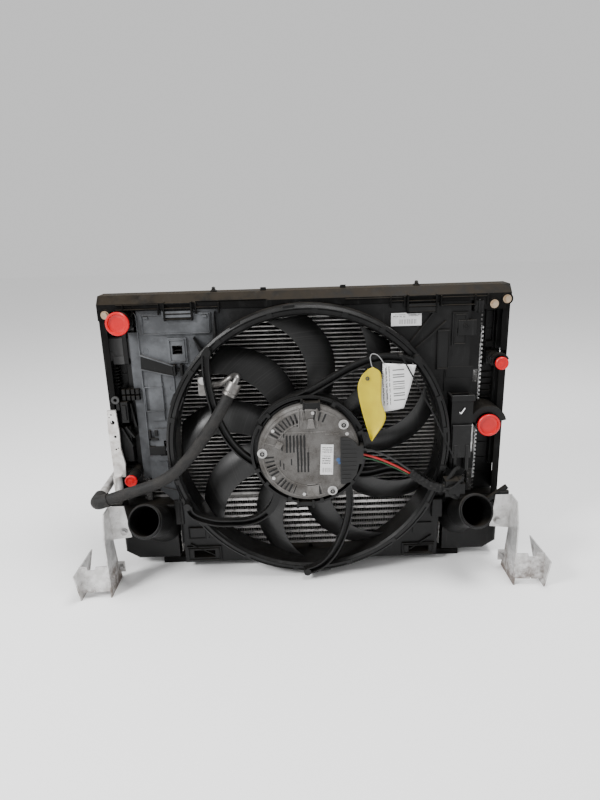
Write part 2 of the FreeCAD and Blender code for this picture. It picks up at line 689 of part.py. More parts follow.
def side_frame(name):
    """A side member: an outer wall with a front and a back lip."""
    made = body(name)
    low, high = "air_base + air_rows*air_pitch + 8", "pack_top - 18 - seat_gap"
    pad(made, sketch(made, name + "_outline", "XY_Plane",
                     [("pack_half - 12", "-side_front"), ("pack_half", "-side_front"),
                      ("pack_half", "side_back - 4"), ("pack_half - 10", "side_back - 4"),
                      ("pack_half - 10", "side_back - 4 - carrier_wall"),
                      ("pack_half - carrier_wall/2", "side_back - 4 - carrier_wall"),
                      ("pack_half - carrier_wall/2", "-side_front + carrier_wall"),
                      ("pack_half - 12", "-side_front + carrier_wall")], low),
        "%s - (%s)" % (high, low))
    return made


def windowed(name, frame):
    """The side member with three openings beside the tank."""
    holes = [box("%s_window%d" % (name, k), ("pack_half - 8", "-28", 176 + 118 * k),
                 ("20", "56", "78")) for k in range(3)]
    return cut(name, frame, fuse(name + "_windows", holes))


frame_right = windowed("Side_frame_open", side_frame("Side_frame"))
notch = box("neck_notch", (346 - 14, "-side_front - 1", 411 - 17), (30, "carrier_wall + 2", 34))
node(cut("Side_frame_right", frame_right, notch), "side_frame_right")
node(mirrored("Side_frame_left", windowed("Side_frame_twin", side_frame("Side_frame_plain"))),
     "side_frame_left")

bottom = body("Bottom_rail")
pad(bottom, sketch(bottom, "bottom_outline", "YZ_Plane",
                   [("-38", "0"), ("side_back", "0"), ("side_back", "12"),
                    ("side_back - carrier_wall", "12"), ("side_back - carrier_wall", "carrier_wall"),
                    ("-38 + carrier_wall", "carrier_wall"), ("-38 + carrier_wall", "12"),
                    ("-38", "12")]), "600", both=True)
posts = []
for index, x in enumerate((-280, -140, 0, 140, 280)):
    posts.append(box("bottom_post%d" % index, (x - 4, "-16", "carrier_wall/2"),
                     (8, "40", "air_base - 4 - carrier_wall/2")))
node(fuse("Bottom_rail_whole", [bottom] + posts), "bottom_rail")

# fir-tree clips pressed into the top rail
fir_clips = []
for index, x in enumerate((-161, 202)):
    made = body("Fir_clip%d" % index)
    place(made, (x, "-34", "pack_top"))
    outline = sketch(made, "fir_outline%d" % index, "XZ_Plane",
                     [("0", "seat_gap"), ("6", "seat_gap"), ("6", "2"), ("3", "3"), ("4.4", "4"),
                      ("2.4", "5.5"), ("3.8", "6.5"), ("1.6", "8.5"), ("0", "8.5")])
    turn = made.newObject("PartDesign::Revolution", "fir_turn%d" % index)
    turn.Profile = outline
    turn.ReferenceAxis = (outline, ["V_Axis"])
    made.Tip = turn
    fir_clips.append(made)
node(group("Rail_clips", fir_clips), "rail_clips")


def bolt(name, x, y, z, across, head, washer):
    """A hexagon bolt head on a washer, its axis along -Y."""
    made = body(name)
    place(made, (x, y, z))
    corners = [(across / 2 / math.cos(math.pi / 6) * math.cos(math.radians(60 * k)),
                across / 2 / math.cos(math.pi / 6) * math.sin(math.radians(60 * k)))
               for k in range(6)]
    pad(made, circle(made, name + "_washer", "XZ_Plane", ("0", "0"), washer, "seat_gap"), "1.5")
    pad(made, sketch(made, name + "_head", "XZ_Plane", corners, "seat_gap + 1.5"), head)
    return made


corner_bolts = [bolt("Corner_bolt%d" % k, x, rail_front, z, 10, 5, 7.5)
                for k, (x, z) in enumerate(((-350, 514), (334, 513), (356, 521)))]
node(group("Corner_bolts", corner_bolts), "corner_bolts")

# ---------------------------------------------------------------- cowl
cowl_outline = [("-297", "pack_top - 27"), ("-300", "190"), ("-253", "140"), ("-250", "14"),
                ("250", "14"), ("253", "140"), ("298", "190"), ("295", "pack_top - 27")]
cowl = body("Cowl")
pad(cowl, sketch(cowl, "cowl_outer", "XZ_Plane", cowl_outline, "cowl_back"),
    "cowl_face - cowl_back")
cowl_inner = [("-297 + cowl_wall", "pack_top - 27 - cowl_wall"), ("-300 + cowl_wall", "191"),
              ("-253 + cowl_wall", "141"), ("-250 + cowl_wall", "14 + cowl_wall"),
              ("250 - cowl_wall", "14 + cowl_wall"), ("253 - cowl_wall", "141"),
              ("298 - cowl_wall", "191"), ("295 - cowl_wall", "pack_top - 27 - cowl_wall")]
pocket(cowl, sketch(cowl, "cowl_inside", "XZ_Plane", cowl_inner, "cowl_back"),
       "cowl_face - cowl_back - cowl_wall", back=True)
pocket(cowl, circle(cowl, "cowl_mouth", "XZ_Plane", ("0", "fan_height"), "ring_inner + 4.5",
                    "cowl_back"), "cowl_face", back=True)
cowl_parts = [cowl]
# (low X, high X, low Z, high Z, rise): raised panels and boxes on the cowl's face
PANELS = [
    (-290, -166, 478, 514, 3), (-246, -212, 424, 470, 4), (-285, -262, 236, 300, 3),
    (-246, -178, 18, 50, 4), (181, 246, 18, 44, 4), (152, 206, 477, 503, 2),
    (262, 290, 440, 500, 4), (-250, -197, 507, 518, 8), (181, 235, 501, 518, 8),
    (-288, -263, 316, 420, 3), (236, 259, 396, 470, 3), (-236, -200, 68, 92, 3),
    (202, 238, 66, 88, 3),
]
for index, (x_low, x_high, z_low, z_high, rise) in enumerate(PANELS):
    cowl_parts.append(box("cowl_panel%d" % index, (x_low, "-cowl_face - %g" % rise, z_low),
                          (x_high - x_low, "%g + cowl_wall/2" % rise, z_high - z_low)))
windows = [(-270, -252, 262, 276), (-238, -220, 440, 456), (-278, -258, 150 + 96, 256),
           (262 + 9, 262 + 19, 462, 472), (-232, -190, 26, 42), (194, 234, 24, 38)]
window_boxes = [box("cowl_window%d" % index, (x_low, "-cowl_face - 9", z_low),
                    (x_high - x_low, "20", z_high - z_low))
                for index, (x_low, x_high, z_low, z_high) in enumerate(windows)]
collar = bored("cowl_collar", ("0", "-cowl_face - 8", "fan_height"), "ring_outer",
               "ring_inner + 4.5", "9", "Y")
# side flanges that close the gap to the tanks, cut back where the right header shows
FLANGES = [(-320, -296, 192, 478), (294, 309, 192, 500), (308, 319, 192, 222),
           (308, 319, 322, 365), (308, 319, 390, 500)]
for index, (x_low, x_high, z_low, z_high) in enumerate(FLANGES):
    cowl_parts.append(box("cowl_flange%d" % index, (x_low, "-cowl_face + 18", z_low),
                          (x_high - x_low, "cowl_wall", z_high - z_low)))
trim = [box("cowl_trim", ("-230", "-cowl_face - 9", "0"), (460, "12", 14))]
cowl_whole = fuse("Cowl_whole", cowl_parts + [collar])
node(cut("Fan_cowl", cowl_whole, fuse("cowl_openings", window_boxes + trim)), "fan_cowl")

# ---------------------------------------------------------------- fan ring with its spider
ring = on_fan("Ring")
turned(ring, "ring_outline",
       [("ring_inner", "-48"), ("ring_inner + 3", "-48"), ("ring_inner + 3", "-ring_face + 4"),
        ("ring_outer - 8", "-ring_face + 4"), ("ring_outer - 3", "-ring_face + 8"),
        ("ring_outer - 3", "-cowl_face - 8"), ("ring_outer", "-cowl_face - 8"),
        ("ring_outer", "-ring_face + 5"), ("ring_outer - 7", "-ring_face"),
        ("ring_inner + 4", "-ring_face"), ("ring_inner", "-ring_face + 5")])
motor_seat = on_fan("Motor_seat")
turned(motor_seat, "seat_outline",
       [("34", "-arm_back - 3"), ("34", "-arm_back"), ("seat_radius", "-arm_back"),
        ("seat_radius", "-arm_face - 2"), ("seat_radius - 4", "-arm_face - 2"),
        ("seat_radius - 6", "-arm_back - 3")])
# arm centre lines on the fan's plane, ring end first, as X and Z
ARMS = [
    [(-171, 454), (-173, 414), (-168, 369), (-157, 325), (-138, 286), (-98, 246)],
    [(185, 423), (157, 432), (122, 432), (89, 422), (41, 397), (-12, 369), (-39, 359), (-84, 324)],
    [(232, 186), (209, 203), (177, 221), (147, 226), (122, 221), (84, 220)],
    [(-8, 20), (28, 39), (50, 71), (63, 103), (71, 134), (74, 165), (70, 200)],
    [(-224, 164), (-219, 147), (-198, 135), (-172, 128), (-148, 127), (-118, 128), (-80, 146),
     (-60, 192)],
]


def band(points, width, front, depth):
    """A strip of even width along a smooth line through X,Z points, from Y front backwards."""
    curve = Part.BSplineCurve()
    curve.interpolate([Vector(x, 0, z) for x, z in points])
    count = 4 * len(points)
    first, last = curve.FirstParameter, curve.LastParameter
    sides = ([], [])
    for index in range(count + 1):
        at = first + (last - first) * index / count
        middle = curve.value(at)
        way = curve.tangent(at)[0]
        across = Vector(way.z, 0, -way.x)
        sides[0].append(middle + across * (width / 2))
        sides[1].append(middle - across * (width / 2))
    edges = []
    for side in sides:
        line = Part.BSplineCurve()
        line.interpolate(side)
        edges.append(line.toShape())
    edges.append(Part.makeLine(sides[0][0], sides[1][0]))
    edges.append(Part.makeLine(sides[0][-1], sides[1][-1]))
    face = Part.Face(Part.Wire(Part.__sortEdges__(edges)))
    face.translate(Vector(0, front, 0))
    return face.extrude(Vector(0, depth, 0))


def spider():
    """Five channel-section arms from the ring to the motor seat."""
    front, back = -size["arm_face"], -size["arm_back"]
    arms = []
    for points in ARMS:
        solid = band(points, size["arm_width"], front, back - front)
        channel = band(points[:-1] if len(points) > 7 else points, size["arm_width"] - 5, front - 1,
                       (back - front) - 3)
        arms.append(solid.cut(channel))
    centre = Vector(0, front - 2, size["fan_height"])
    keep = Part.makeCylinder(size["ring_outer"] - 2, back - front + 20, centre, Vector(0, 1, 0))
    clear = Part.makeCylinder(size["seat_radius"] - 3, back - front + 20, centre, Vector(0, 1, 0))
    return [arm.common(keep).cut(clear) for arm in arms]


arm_parts = []
for index, solid in enumerate(spider()):
    arm_parts.append(shaped("Arm%d" % index, solid))
# feet under each arm's outer end, down to the ring flange
for index, points in enumerate(ARMS):
    x, z = points[0]
    away = Vector(x, 0, z - size["fan_height"]).normalize()
    centre = Vector(0, 0, size["fan_height"]) + away * (size["ring_inner"] + 9)
    arm_parts.append(rod("arm_foot%d" % index, (centre.x, "-arm_face", centre.z),
                         "arm_width/2 + 0.5", "arm_face - ring_face + 3", "Y"))
# round peg on the upper right arm, which the tags' tie hangs from
PEG = (117, 436)
arm_parts.append(rod("tag_peg", (PEG[0], "-arm_face - 4", PEG[1]), "peg_dia/2",
                     "arm_face - arm_back + 3", "Y"))
node(fuse("Fan_ring", [ring, motor_seat] + arm_parts), "fan_ring")

# ---------------------------------------------------------------- fan wheel
# a cup that opens towards the motor, closed at the core side, with swept blades round it
hub = on_fan("Hub")
hub_front = "(-arm_back + 4)"
turned(hub, "hub_outline",
       [("hub_radius - 3", hub_front), ("hub_radius", hub_front), ("hub_radius", "-55"),
        ("hub_radius - 4", "-51"), ("20", "-51"), ("20", "-54"), ("hub_radius - 3", "-54")])


def blade():
    """One swept blade: a loft over cambered sections, root to tip."""
    root, tip = size["hub_radius"] - 1.5, size["ring_inner"] - size["tip_gap"]
    sections = []
    for share in (0.0, 0.25, 0.5, 0.75, 1.0):
        radius = root + (tip - root) * share
        chord = 58 + 13 * share
        pitch = math.radians(34 - 12 * share)
        sweep = math.radians(22 * share * share)
        outward = Vector(math.cos(sweep), 0, math.sin(sweep))
        sideways = Vector(-math.sin(sweep), 0, math.cos(sweep))
        upper, lower = [], []
        for step in range(9):
            at = step / 8.0
            along = (at - 0.5) * chord
            camber = 0.28 * chord * at * (1 - at)
            thick = 0.9 + 3.0 * math.sqrt(at * (1 - at))
            for side, rise in ((upper, camber + thick / 2), (lower, camber - thick / 2)):
                across = along * math.cos(pitch) - rise * math.sin(pitch)
                depth = along * math.sin(pitch) + rise * math.cos(pitch)
                side.append(outward * radius + sideways * across + Vector(0, -67 - depth, 0))
        lower.reverse()
        edges = []
        for side, after in ((upper, lower), (lower, upper)):
            line = Part.BSplineCurve()
            line.interpolate(side)
            edges.append(line.toShape())
            edges.append(Part.makeLine(side[-1], after[0]))
        sections.append(Part.Wire(edges))
    return Part.makeLoft(sections, True, False)


BLADE_START = 116.5
single = blade()
blades = []
for index in range(int(size["blade_count"])):
    copy = single.copy()
    copy.rotate(Vector(), Vector(0, 1, 0), -(BLADE_START + index * 360 / size["blade_count"]))
    copy.translate(Vector(0, 0, size["fan_height"]))
    blades.append(shaped("Blade%d" % index, copy))
node(fuse("Fan_wheel", [hub] + blades), "fan_wheel")


# ---------------------------------------------------------------- motor
def ring_body(name, inner, outer, front, back):
    """A plain ring on the fan's axis."""
    made = on_fan(name)
    turned(made, name + "_outline", [(inner, front), (outer, front), (outer, back), (inner, back)])
    return made


shaft_radius = "shaft_dia/2"
bell_bore = "(bell_radius - bell_wall)"
magnet_bore = "(bell_radius - bell_wall - magnet_thick)"
bell = on_fan("Bell")
turned(bell, "bell_outline",
       [("bell_radius", "-99"), ("bell_radius", "-54"), (shaft_radius, "-54"),
        (shaft_radius, "-56"), (bell_bore, "-56"), (bell_bore, "-99")])
node(bell, "rotor_bell")

magnet_ring = ring_body("Magnet_ring", magnet_bore, bell_bore, "-97", "-64")
MAGNETS = 5
magnet_gaps = []
for k in range(MAGNETS):
    gap = Part.makeBox(2, 36, 40, Vector(-1, -98, 60))
    gap.Placement = Placement(Vector(0, 0, size["fan_height"]),
                              Rotation(Vector(0, 1, 0), 360 / MAGNETS * k))
    magnet_gaps.append(shaped("Magnet_gap%d" % k, gap))
node(cut("Magnets", magnet_ring, fuse("Magnet_gaps", magnet_gaps)), "rotor_magnets")

motor_shaft = on_fan("Shaft")
turned(motor_shaft, "shaft_outline",
       [("0", "-101"), (shaft_radius + " - 1", "-101"), (shaft_radius, "-100"),
        (shaft_radius, "-50"), (shaft_radius + " - 1", "-49"), ("0", "-49")])
node(motor_shaft, "motor_shaft")

bearing_bore, bearing_outer = shaft_radius + " + 0.05", shaft_radius + " + 8"
node(group("Bearings", [ring_body("Bearing_front", bearing_bore, bearing_outer, "-96", "-88"),
                        ring_body("Bearing_back", bearing_bore, bearing_outer, "-70", "-62")]),
     "motor_bearings")

base_plate = on_fan("Motor_base")
turned(base_plate, "base_outline",
       [(bearing_outer, "-arm_back"), ("seat_radius - 12", "-arm_back"),
        ("seat_radius - 12", "-arm_back + 2"), (bearing_outer + " + 5", "-arm_back + 2"),
        (bearing_outer + " + 5", "-60"), (bearing_outer, "-60")])
node(base_plate, "motor_base")

core_bore = bearing_outer + " + 5"
stator = ring_body("Stator_ring", core_bore, magnet_bore + " - air_gap", "-94", "-94 + core_length")
stator_slots = []
SLOTS = 12
for k in range(SLOTS):
    turn = Rotation(Vector(0, 1, 0), (k + 0.5) * 360 / SLOTS)
    centre = Placement(Vector(0, 0, size["fan_height"]), turn)
    wedge = Part.Face(Part.makePolygon([Vector(-5.5, -95, 38), Vector(5.5, -95, 38),
                                        Vector(12.5, -95, 68), Vector(-12.5, -95, 68),
                                        Vector(-5.5, -95, 38)])).extrude(Vector(0, 28, 0))
    mouth = Part.makeBox(4, 28, 14, Vector(-2, -95, 66))
    slot_shape = wedge.fuse(mouth)
    slot_shape.Placement = centre
    stator_slots.append(shaped("Slot%d" % k, slot_shape))
node(cut("Stator", stator, fuse("Stator_slots", stator_slots)), "stator_core")

coils = []
for k in range(SLOTS):
    outer = Part.makeBox(16, 32, 24, Vector(-8, -97, 40))
    tooth = Part.makeBox(11.4, 26.6, 26, Vector(-5.7, -94.3, 39))
    coil = outer.cut(tooth)
    coil = coil.makeFillet(2, [edge for edge in coil.Edges
                               if abs(edge.BoundBox.ZLength - 24) < 0.01
                               and (abs(edge.BoundBox.YMin + 97) < 0.01
                                    or abs(edge.BoundBox.YMax + 65) < 0.01)])
    coil.Placement = Placement(Vector(0, 0, size["fan_height"]),
                               Rotation(Vector(0, 1, 0), k * 360 / SLOTS))
    coils.append(coil)
node(shaped("Windings", Part.Compound(coils)), "motor_windings")

seat_floor = "-arm_back - 3"
board_parts = [ring_body("Board_disc", "20", "board_radius", seat_floor + " - 5.6",
                         seat_floor + " - 4")]
for index, (x, z, radius, height) in enumerate(((-40, 20, 8, 11), (-40, -4, 8, 11), (-38, -28, 8, 11),
                                                (10, -50, 6, 8), (34, 44, 9, 9))):
    board_parts.append(rod("board_can%d" % index,
                           (x, "%s - 5 - %g" % (seat_floor, height), "fan_height + %g" % z),
                           radius, height, "Y"))
for index, (x, z) in enumerate(((30, 0), (30, -24), (0, 44))):
    board_parts.append(box("board_chip%d" % index, (x - 7, seat_floor + " - 9",
                                                    "fan_height + %g - 7" % z), (14, "4", 14)))
node(fuse("Board", board_parts), "circuit_board")

SCREW_ANGLES = (177, 41, -60)
cover = on_fan("Cover")
turned(cover, "cover_outline",
       [("motor_radius + 1", seat_floor), ("motor_radius + 1", seat_floor + " - 10"),
        ("motor_radius", "-motor_face + 6"), ("motor_radius - 4", "-motor_face + 2"),
        ("motor_radius - 6", "-motor_face + 2"), ("motor_radius - 9", "-motor_face"),
        ("0", "-motor_face"), ("0", "-motor_face + 3"), ("motor_radius - 7", "-motor_face + 3"),
        ("motor_radius - 2", "-motor_face + 8"), ("motor_radius - 2", seat_floor)])
cover_parts = [cover]
cover_cuts = []
screw_parts = []
for index, angle in enumerate(SCREW_ANGLES):
    x = size["screw_circle"] * math.cos(math.radians(angle))
    z = "fan_height + %g" % (size["screw_circle"] * math.sin(math.radians(angle)))
    cover_parts.append(rod("cover_boss%d" % index, (x, "-motor_face", z), 8.8,
                           "motor_face - arm_back - 3", "Y"))
    cover_cuts.append(rod("cover_hole%d" % index, (x, "-motor_face - 1", z), 3.2, "30", "Y"))
    washer = rod("washer%d" % index, (x, "-motor_face - 1.4", z), 8.7, "1.4", "Y")
    head = rod("head%d" % index, (x, "-motor_face - 4.9", z), 4.6, "3.5", "Y")
    shank = rod("shank%d" % index, (x, "-motor_face - 1", z), 2.6, "27", "Y")
    socket = rod("socket%d" % index, (x, "-motor_face - 5", z), 2.1, "2.4", "Y")
    screw_parts.append(cut("Screw%d" % index, fuse("screw_solid%d" % index, [washer, head, shank]),
                           socket))
# groups of radial vent slots: centre angle, radius, number, pitch in degrees
VENTS = ((128, 71, 7, 6.6), (101, 73, 3, 7), (215, 71, 5, 6.6), (237, 73, 4, 6.6), (276, 73, 3, 6.6))
for group_index, (angle, radius, count, step) in enumerate(VENTS):
    for k in range(count):
        turn = math.radians(angle + (k - (count - 1) / 2) * step)
        vent = Part.makeBox(17, 1.4, 2.6, Vector(-8.5, -0.7, -1.3))
        vent.Placement = Placement(
            Vector(radius * math.cos(turn), -size["motor_face"],
                   size["fan_height"] + radius * math.sin(turn)),
            Rotation(Vector(0, 1, 0), -math.degrees(turn)))
        cover_cuts.append(shaped("Vent%d_%d" % (group_index, k), vent))
for index, (x, z_low, z_high) in enumerate([(-38 + 6.2 * k, 15, 38) for k in range(6)]
                                           + [(-18 + 5.6 * k, -22, 12) for k in range(4)]):
    cover_cuts.append(box("cover_groove%d" % index,
                          (x, "-motor_face - 1", "fan_height + %g" % z_low),
                          (2.2, "1.8", z_high - z_low)))
cover_parts.append(box("cover_pad", ("-8", "-motor_face - 1.2", "fan_height + 48"),
                       ("16", "2", "16")))
node(cut("Motor_cover", fuse("cover_solid", cover_parts), fuse("cover_cuts", cover_cuts)),
     "motor_cover")

COVER_SCREWS = ((9, 81), (-66, 49), (-69, -47), (-11, -84), (70, 38))
for index, (x, z) in enumerate(COVER_SCREWS):
    reach = math.hypot(x, z)
    x, z = x * size["cover_circle"] / reach, z * size["cover_circle"] / reach
    screw_parts.append(rod("small_screw%d" % index,
                           (x, "-motor_face - 1.8", "fan_height + %g" % z), 3.0, "1.8", "Y"))
node(group("Motor_screws", screw_parts), "motor_screws")

# D-shaped ribbed cap over the motor's terminals
cap = on_fan("Terminal_cap")
cap_front = "motor_face + 4"
pad(cap, sketch(cap, "cap_outline", "XZ_Plane",
                [("56", "30"), ("64", "31"), ("76", "27"), ("85", "18"), ("89", "4"), ("89", "-18"),
                 ("84", "-40"), ("74", "-53"), ("62", "-58"), ("56", "-57")],
                "motor_face + seat_gap"), "4")
cap_ribs = [box("cap_rib%d" % k, ("58", "-motor_face - 5.2", "fan_height - 50 + %g" % (8 * k)),
                (26 if 1 < k < 8 else 16, "1.4", 3)) for k in range(10)]
cap_side = box("cap_side", ("91.3", "-motor_face - 4", "fan_height - 20"), ("5", "20", "34"))
cap_bridge = box("cap_bridge", ("86", "-motor_face - 4", "fan_height - 20"), ("8", "3.7", "34"))
node(fuse("Terminal_cover", [cap, cap_side, cap_bridge] + cap_ribs), "terminal_cover")

# ---------------------------------------------------------------- motor leads and their plug
LEAD_START = 96.6
LEADS = {
    "red": ("lead_dia", [(LEAD_START, -126, 261), (112, -126, 257), (130, -126, 250), (148, -125.6, 241),
                         (166, -125, 231), (183.2, -124, 219.8)]),
    "black": ("lead_dia", [(LEAD_START, -126, 271), (114, -126.4, 268), (134, -126.4, 260),
                           (153, -126, 249), (170, -125.4, 236), (185.7, -124.5, 223.5)]),
    "green": ("signal_dia", [(LEAD_START, -122.6, 254), (112, -122.4, 250), (130, -122.2, 243.5),
                             (148, -122.4, 235), (165, -122.8, 226), (181.6, -123.4, 216.6)]),
}
leads = [tube_along(points, size[across] / 2) for across, points in LEADS.values()]
node(shaped("Motor_leads", Part.Compound(leads)), "motor_leads")
CONDUIT = [(184.8, -124.2, 220.2), (201, -125.6, 208), (216, -126, 198), (230, -126, 191.5),
           (245, -126, 191.5)]
node(shaped("Conduit", tube_along(CONDUIT, size["conduit_dia"] / 2)), "lead_conduit")

plug_parts = [
    box("connector_body", ("245", "-133", "176"), ("26", "24", "30")),
    box("connector_latch", ("250", "-136", "182"), ("14", "4", "16")),
    box("connector_back", ("270", "-128", "178"), ("12", "22", "20")),
    box("connector_tail", ("272", "-124", "197"), ("8", "16", "9")),
]
node(fuse("Fan_connector", plug_parts), "fan_connector")

# holder on the cowl: a deep oval pocket with a duct below it
holder = body("Holder")
HOLDER_BACK = "cowl_face + 5"
pad(holder, sketch(holder, "holder_outline", "XZ_Plane",
                   [("260.5", "212"), ("260.5", "352"), ("299", "352"), ("299", "300"), ("296", "296"),
                    ("296", "212")], HOLDER_BACK), "26")
holder_cut = box("holder_hole", ("263.5", "-cowl_face - 28", "258"), ("32", "20", "100"))
holder_low = box("holder_duct", ("270", "-cowl_face - 33", "200"), ("16", "12", "52"))
cheek = [box("holder_rib%d" % k, (x, "-cowl_face - 33.5", "216"), ("3", "4", "74"))
         for k, x in enumerate((262, 290))]
foot = box("holder_foot", ("264", "-cowl_face - 6", "214"), ("28", "6", "126"))
node(cut("Connector_holder", fuse("holder_solid", [holder, foot] + cheek),
         fuse("holder_cuts", [holder_cut, holder_low])), "connector_holder")

# ---------------------------------------------------------------- refrigerant hose
HOSE = [(-366, -124, 187), (-345, -125, 194), (-315, -125, 203), (-277, -124, 214),
        (-244, -124, 233), (-214, -126, 263), (-188, -129.5, 296), (-167, -131.5, 326),
        (-149, -128, 353), (-136, -121, 376)]
node(shaped("Hose", tube_along(HOSE, size["hose_dia"] / 2)), "ac_hose")
ELBOW = [(-366, -124, 187), (-391.5, -122.79, 178.5), (-391.5, -92, 178.5)]
CUFF_WALL = 2
elbow_radius = size["hose_dia"] / 2 + CUFF_WALL
ELBOW_BEND = 17
elbow = tube_along(ELBOW, elbow_radius, bend=ELBOW_BEND)
line_pipe = Part.makeCylinder(size["line_dia"] / 2, 124, Vector(*ELBOW[-1]), Vector(0, 1, 0))
line_block = Part.makeBox(38, 22, 30, Vector(-402.5, 32, 163))
node(shaped("Hose_elbow", elbow), "hose_elbow")
node(shaped("Line_pipe", line_pipe.fuse(line_block)), "ac_line_pipe")

hose_end, hose_way = Vector(*HOSE[-1]), Vector(*HOSE[-1]) - Vector(*HOSE[-2])
hose_way.normalize()
ferrule_end = hose_end + hose_way * 24
ferrule = Part.makeCylinder(13, 24, hose_end, hose_way)
for step in (6, 12, 18):
    ferrule = ferrule.cut(Part.makeTorus(13.4, 1.3, hose_end + hose_way * step, hose_way))
free_pipe = tube_along([tuple(ferrule_end - hose_way * 2), tuple(ferrule_end + hose_way * 12),
                        (-127, -96.5, 406), (-148, -95.5, 391), (-176, -95.2, 388)], 6.0)
free_block = Part.makeBox(17, 13, 34, Vector(-191, -102, 372))
free_block = free_block.makeFillet(3, [edge for edge in free_block.Edges
                                       if abs(edge.BoundBox.YLength - 13) < 0.01])
bolt_hole = Part.makeCylinder(3.6, 20, Vector(-182.5, -104, 399), Vector(0, 1, 0))
fitting = ferrule.fuse([free_pipe, free_block]).cut(bolt_hole)
node(shaped("Hose_fitting", fitting), "hose_fitting")

fit_bolt = body("Fitting_bolt")
place(fit_bolt, ("-182.5", "0", "399"))
pad(fit_bolt, circle(fit_bolt, "fit_shank", "XZ_Plane", ("0", "0"), "3.3", "90"), "12.3")
pad(fit_bolt, circle(fit_bolt, "fit_flange", "XZ_Plane", ("0", "0"), "7", "102.3"), "1")
node(fit_bolt, "fitting_bolt")

# ---------------------------------------------------------------- crash brackets
arm = body("Bracket_arm")
pad(arm, sketch(arm, "arm_side", "YZ_Plane",
                [("-153", "0"), ("-153", "118"), ("-138", "164"), ("-108", "164"), ("-106", "95"),
                 ("-96", "42"), ("-82", "0")], "bracket_plane"), "bracket_sheet")
arm_flange = sketch(arm, "arm_flange", "XZ_Plane",
                    [("338", "100"), ("bracket_plane", "96"), ("bracket_plane", "164"),
                     ("346", "164")], "105.5")
pad(arm, arm_flange, "bracket_sheet")
arm_bend = sketch(arm, "arm_bend", "XZ_Plane",
                  rect("bracket_plane - 1", "bracket_plane + bracket_sheet", "96", "164"), "105.5")
pad(arm, arm_bend, "bracket_sheet")
rear_lip = sketch(arm, "rear_lip", "XZ_Plane", rect("bracket_plane - 11", "bracket_plane + 1",
                                                    "18", "40"), "92")
pad(arm, rear_lip, "bracket_sheet")
pocket(arm, circle(arm, "arm_hole", "YZ_Plane", ("-hole_front", "hole_height"), "bracket_hole/2",
                   "bracket_plane - 1"), "bracket_sheet + 2", back=True)
node(arm, "bracket_arm_right")
node(mirrored("Bracket_arm_left", arm), "bracket_arm_left")

foot = body("Bracket_foot")
pad(foot, sketch(foot, "foot_flange", "YZ_Plane",
                 [("-160", "0"), ("-179", "63"), ("-77", "59"), ("-125", "0")], "foot_plane"),
    "bracket_sheet")
foot_web = sketch(foot, "foot_web", "XZ_Plane",
                  [("bracket_plane + bracket_sheet", "14"), ("404", "12"), ("406", "15"),
                   ("408", "12"), ("foot_plane + 1", "12"), ("foot_plane + 1", "65"),
                   ("414", "65"), ("413", "58"), ("400", "58"), ("398", "65"),
                   ("bracket_plane + bracket_sheet", "66")], "149.5")
pad(foot, foot_web, "bracket_sheet")
pocket(foot, circle(foot, "foot_hole", "YZ_Plane", ("-hole_front", "hole_height"), "bracket_hole/2",
                    "foot_plane - 1"), "bracket_sheet + 2", back=True)
node(foot, "bracket_foot_right")
node(mirrored("Bracket_foot_left", foot), "bracket_foot_left")

right_bolt = bolt("Bracket_bolt", 351, "-108", 112, 9, 5, 7)
rear_nut = bolt("Bracket_nut", 368, "-94.5", 29, 7, 4, 5)
node(group("Bracket_bolts", [right_bolt, rear_nut, mirrored("Bracket_bolt_left", right_bolt),
                             mirrored("Bracket_nut_left", rear_nut)]), "bracket_bolts")

# ---------------------------------------------------------------- paper tags on a wire
tag = body("Tag_yellow")
pad(tag, sketch(tag, "tag_yellow_outline", "XZ_Plane",
                [("113", "421"), ("126", "412"), ("128", "361"), ("136", "328"), ("109", "290"),
                 ("94", "344"), ("86", "384"), ("98", "410")], "127"), "tag_thick")
node(tag, "tag_yellow")
tag = body("Tag_white")
pad(tag, sketch(tag, "tag_white_outline", "XZ_Plane",
                [("131", "426"), ("190", "420"), ("169", "343"), ("125", "337")], "123"), "tag_thick")
node(tag, "tag_white")
TIE = [(113, -125.5, 419), (110, -125, 428), (109, -122, 437), (112, -120, 442.5),
       (121, -120, 441), (127, -123, 434.5), (131, -125.8, 428), (133, -125.9, 423)]
node(shaped("Tag_tie", tube_along(TIE, size["tie_dia"] / 2)), "tag_tie")

# ---------------------------------------------------------------- check and write
doc.recompute()
for item in doc.Objects:
    if "Invalid" in item.State or "Error" in item.State:
        raise RuntimeError("%s failed: %s" % (item.Name, item.State))
labels = [item.Label for item in NODES]
if len(set(labels)) != len(labels) or len(labels) > 60:
    raise RuntimeError("node names: %d" % len(labels))
os.makedirs("parts", exist_ok=True)
for item in NODES:
    shape = item.Shape
    if shape.isNull() or not shape.isValid() or not shape.Solids:
        raise RuntimeError(item.Label + " is not a valid solid")
    extent = shape.BoundBox
    print("%-24s solids %3d volume %10.1f  X %.1f..%.1f Y %.1f..%.1f Z %.1f..%.1f" % (
        item.Label, len(shape.Solids), shape.Volume, extent.XMin, extent.XMax, extent.YMin,
        extent.YMax, extent.ZMin, extent.ZMax))
for item in NODES:
    item.Shape.exportStep("parts/%s.step" % item.Label)
print(len(NODES), "nodes")
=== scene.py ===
import math

